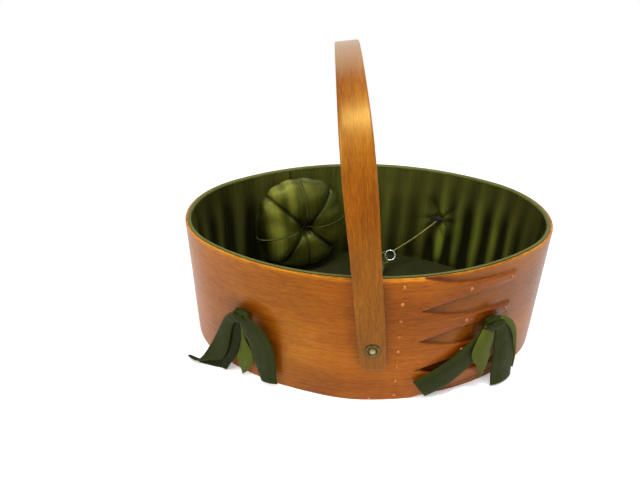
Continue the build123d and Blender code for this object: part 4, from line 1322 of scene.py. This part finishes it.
def rounded_square(turn):
    """Both coordinates of a square of half side 1 with rounded corners, at each turn."""
    c, s = np.cos(turn), np.sin(turn)
    grow = 1 / (np.abs(c) ** 9 + np.abs(s) ** 9) ** (1 / 9)
    return c * grow, s * grow


def book_cover(name, depth, stands_for=()):
    square_x, square_z = rounded_square(full_turn(120)[None, :])
    fractions = np.concatenate(
        [np.linspace(0.03, 0.97, 22), [1.0, 1.0], np.linspace(0.97, 0.03, 8)]
    )[:, None]
    top_crown = COVER_T / 2 * (1 - np.linspace(0.03, 0.97, 22) ** 8)
    under_crown = -COVER_T / 2 * (1 - np.linspace(0.97, 0.03, 8) ** 8)
    crown = np.concatenate([top_crown, [0.0002, -0.0002], under_crown])[:, None]
    x = (BOOK_W / 2 - 0.0003) * square_x * fractions
    z = (BOOK_H / 2 - 0.0003) * square_z * fractions
    points = on_book(x, z, depth + crown + 0.00012 * wander(x * 160, z * 160, seed=95))
    flat = np.stack(np.broadcast_arrays(x, z), -1)
    mesh = closed_grid(name, points, uv=np.concatenate([flat, flat[:, :1]], 1))
    piece = add_piece(name, mesh, book_satin, stands_for=stands_for)
    edge_turn = full_turn(160)
    edge_x, edge_z = rounded_square(edge_turn)
    path = on_book((BOOK_W / 2 - 0.0004) * edge_x, (BOOK_H / 2 - 0.0004) * edge_z, depth)
    edging = tube(
        name + "_edging", path, 0.00055 * (1 + 0.22 * np.sin(edge_turn * 52)), sides=8, closed=True
    )
    add_piece(name + "_edging", edging, thread_green)


book_cover("book_front_cover", BOOK_T - COVER_T / 2 - 0.0001, stands_for=["needle_book_cover"])
book_cover("book_back_cover", COVER_T / 2 + 0.0002)

WAX = np.array([0.079326, -0.0739339, 0.053])
wax_x = np.array([0.880401, 0.474231, 0.0])
wax_in = np.array([-0.474231, 0.880401, 0.0])
turn = full_turn(144)[None, :]
profile = np.array([
    (0.02, 0.0103), (0.30, 0.0104), (0.45, 0.0108), (0.62, 0.0109), (0.80, 0.0107), (0.93, 0.0098),
    (1.0, 0.0080), (1.0, 0.0030), (0.94, 0.0012), (0.80, 0.0004), (0.4, 0.0002), (0.02, 0.0002),
])
profile = through(np.column_stack([profile, np.zeros(len(profile))]), 46)
flutes = 1 - 0.035 * (1 - np.abs(np.cos(9 * turn))) * smooth(0.75, 1.0, profile[:, :1])
grooves = (
    0.0012 * bell(profile[:, :1] * np.cos(turn) * 16 + 3.0, 0.5)
    + 0.0009 * bell(profile[:, :1] * np.sin(turn) * 16 - 4.5, 0.5)
)
wax_reach = 0.0159 * profile[:, :1] * flutes
wax_depth = profile[:, 1:2] - grooves * (profile[:, 1:2] > 0.006)
wax_points = in_axes(WAX, wax_x, wax_in, wax_reach * np.cos(turn), wax_depth, wax_reach * np.sin(turn))
wax_mesh = closed_grid("wax_cake", wax_points)
add_piece("wax_cake", wax_mesh, beeswax, stands_for=["beeswax"])
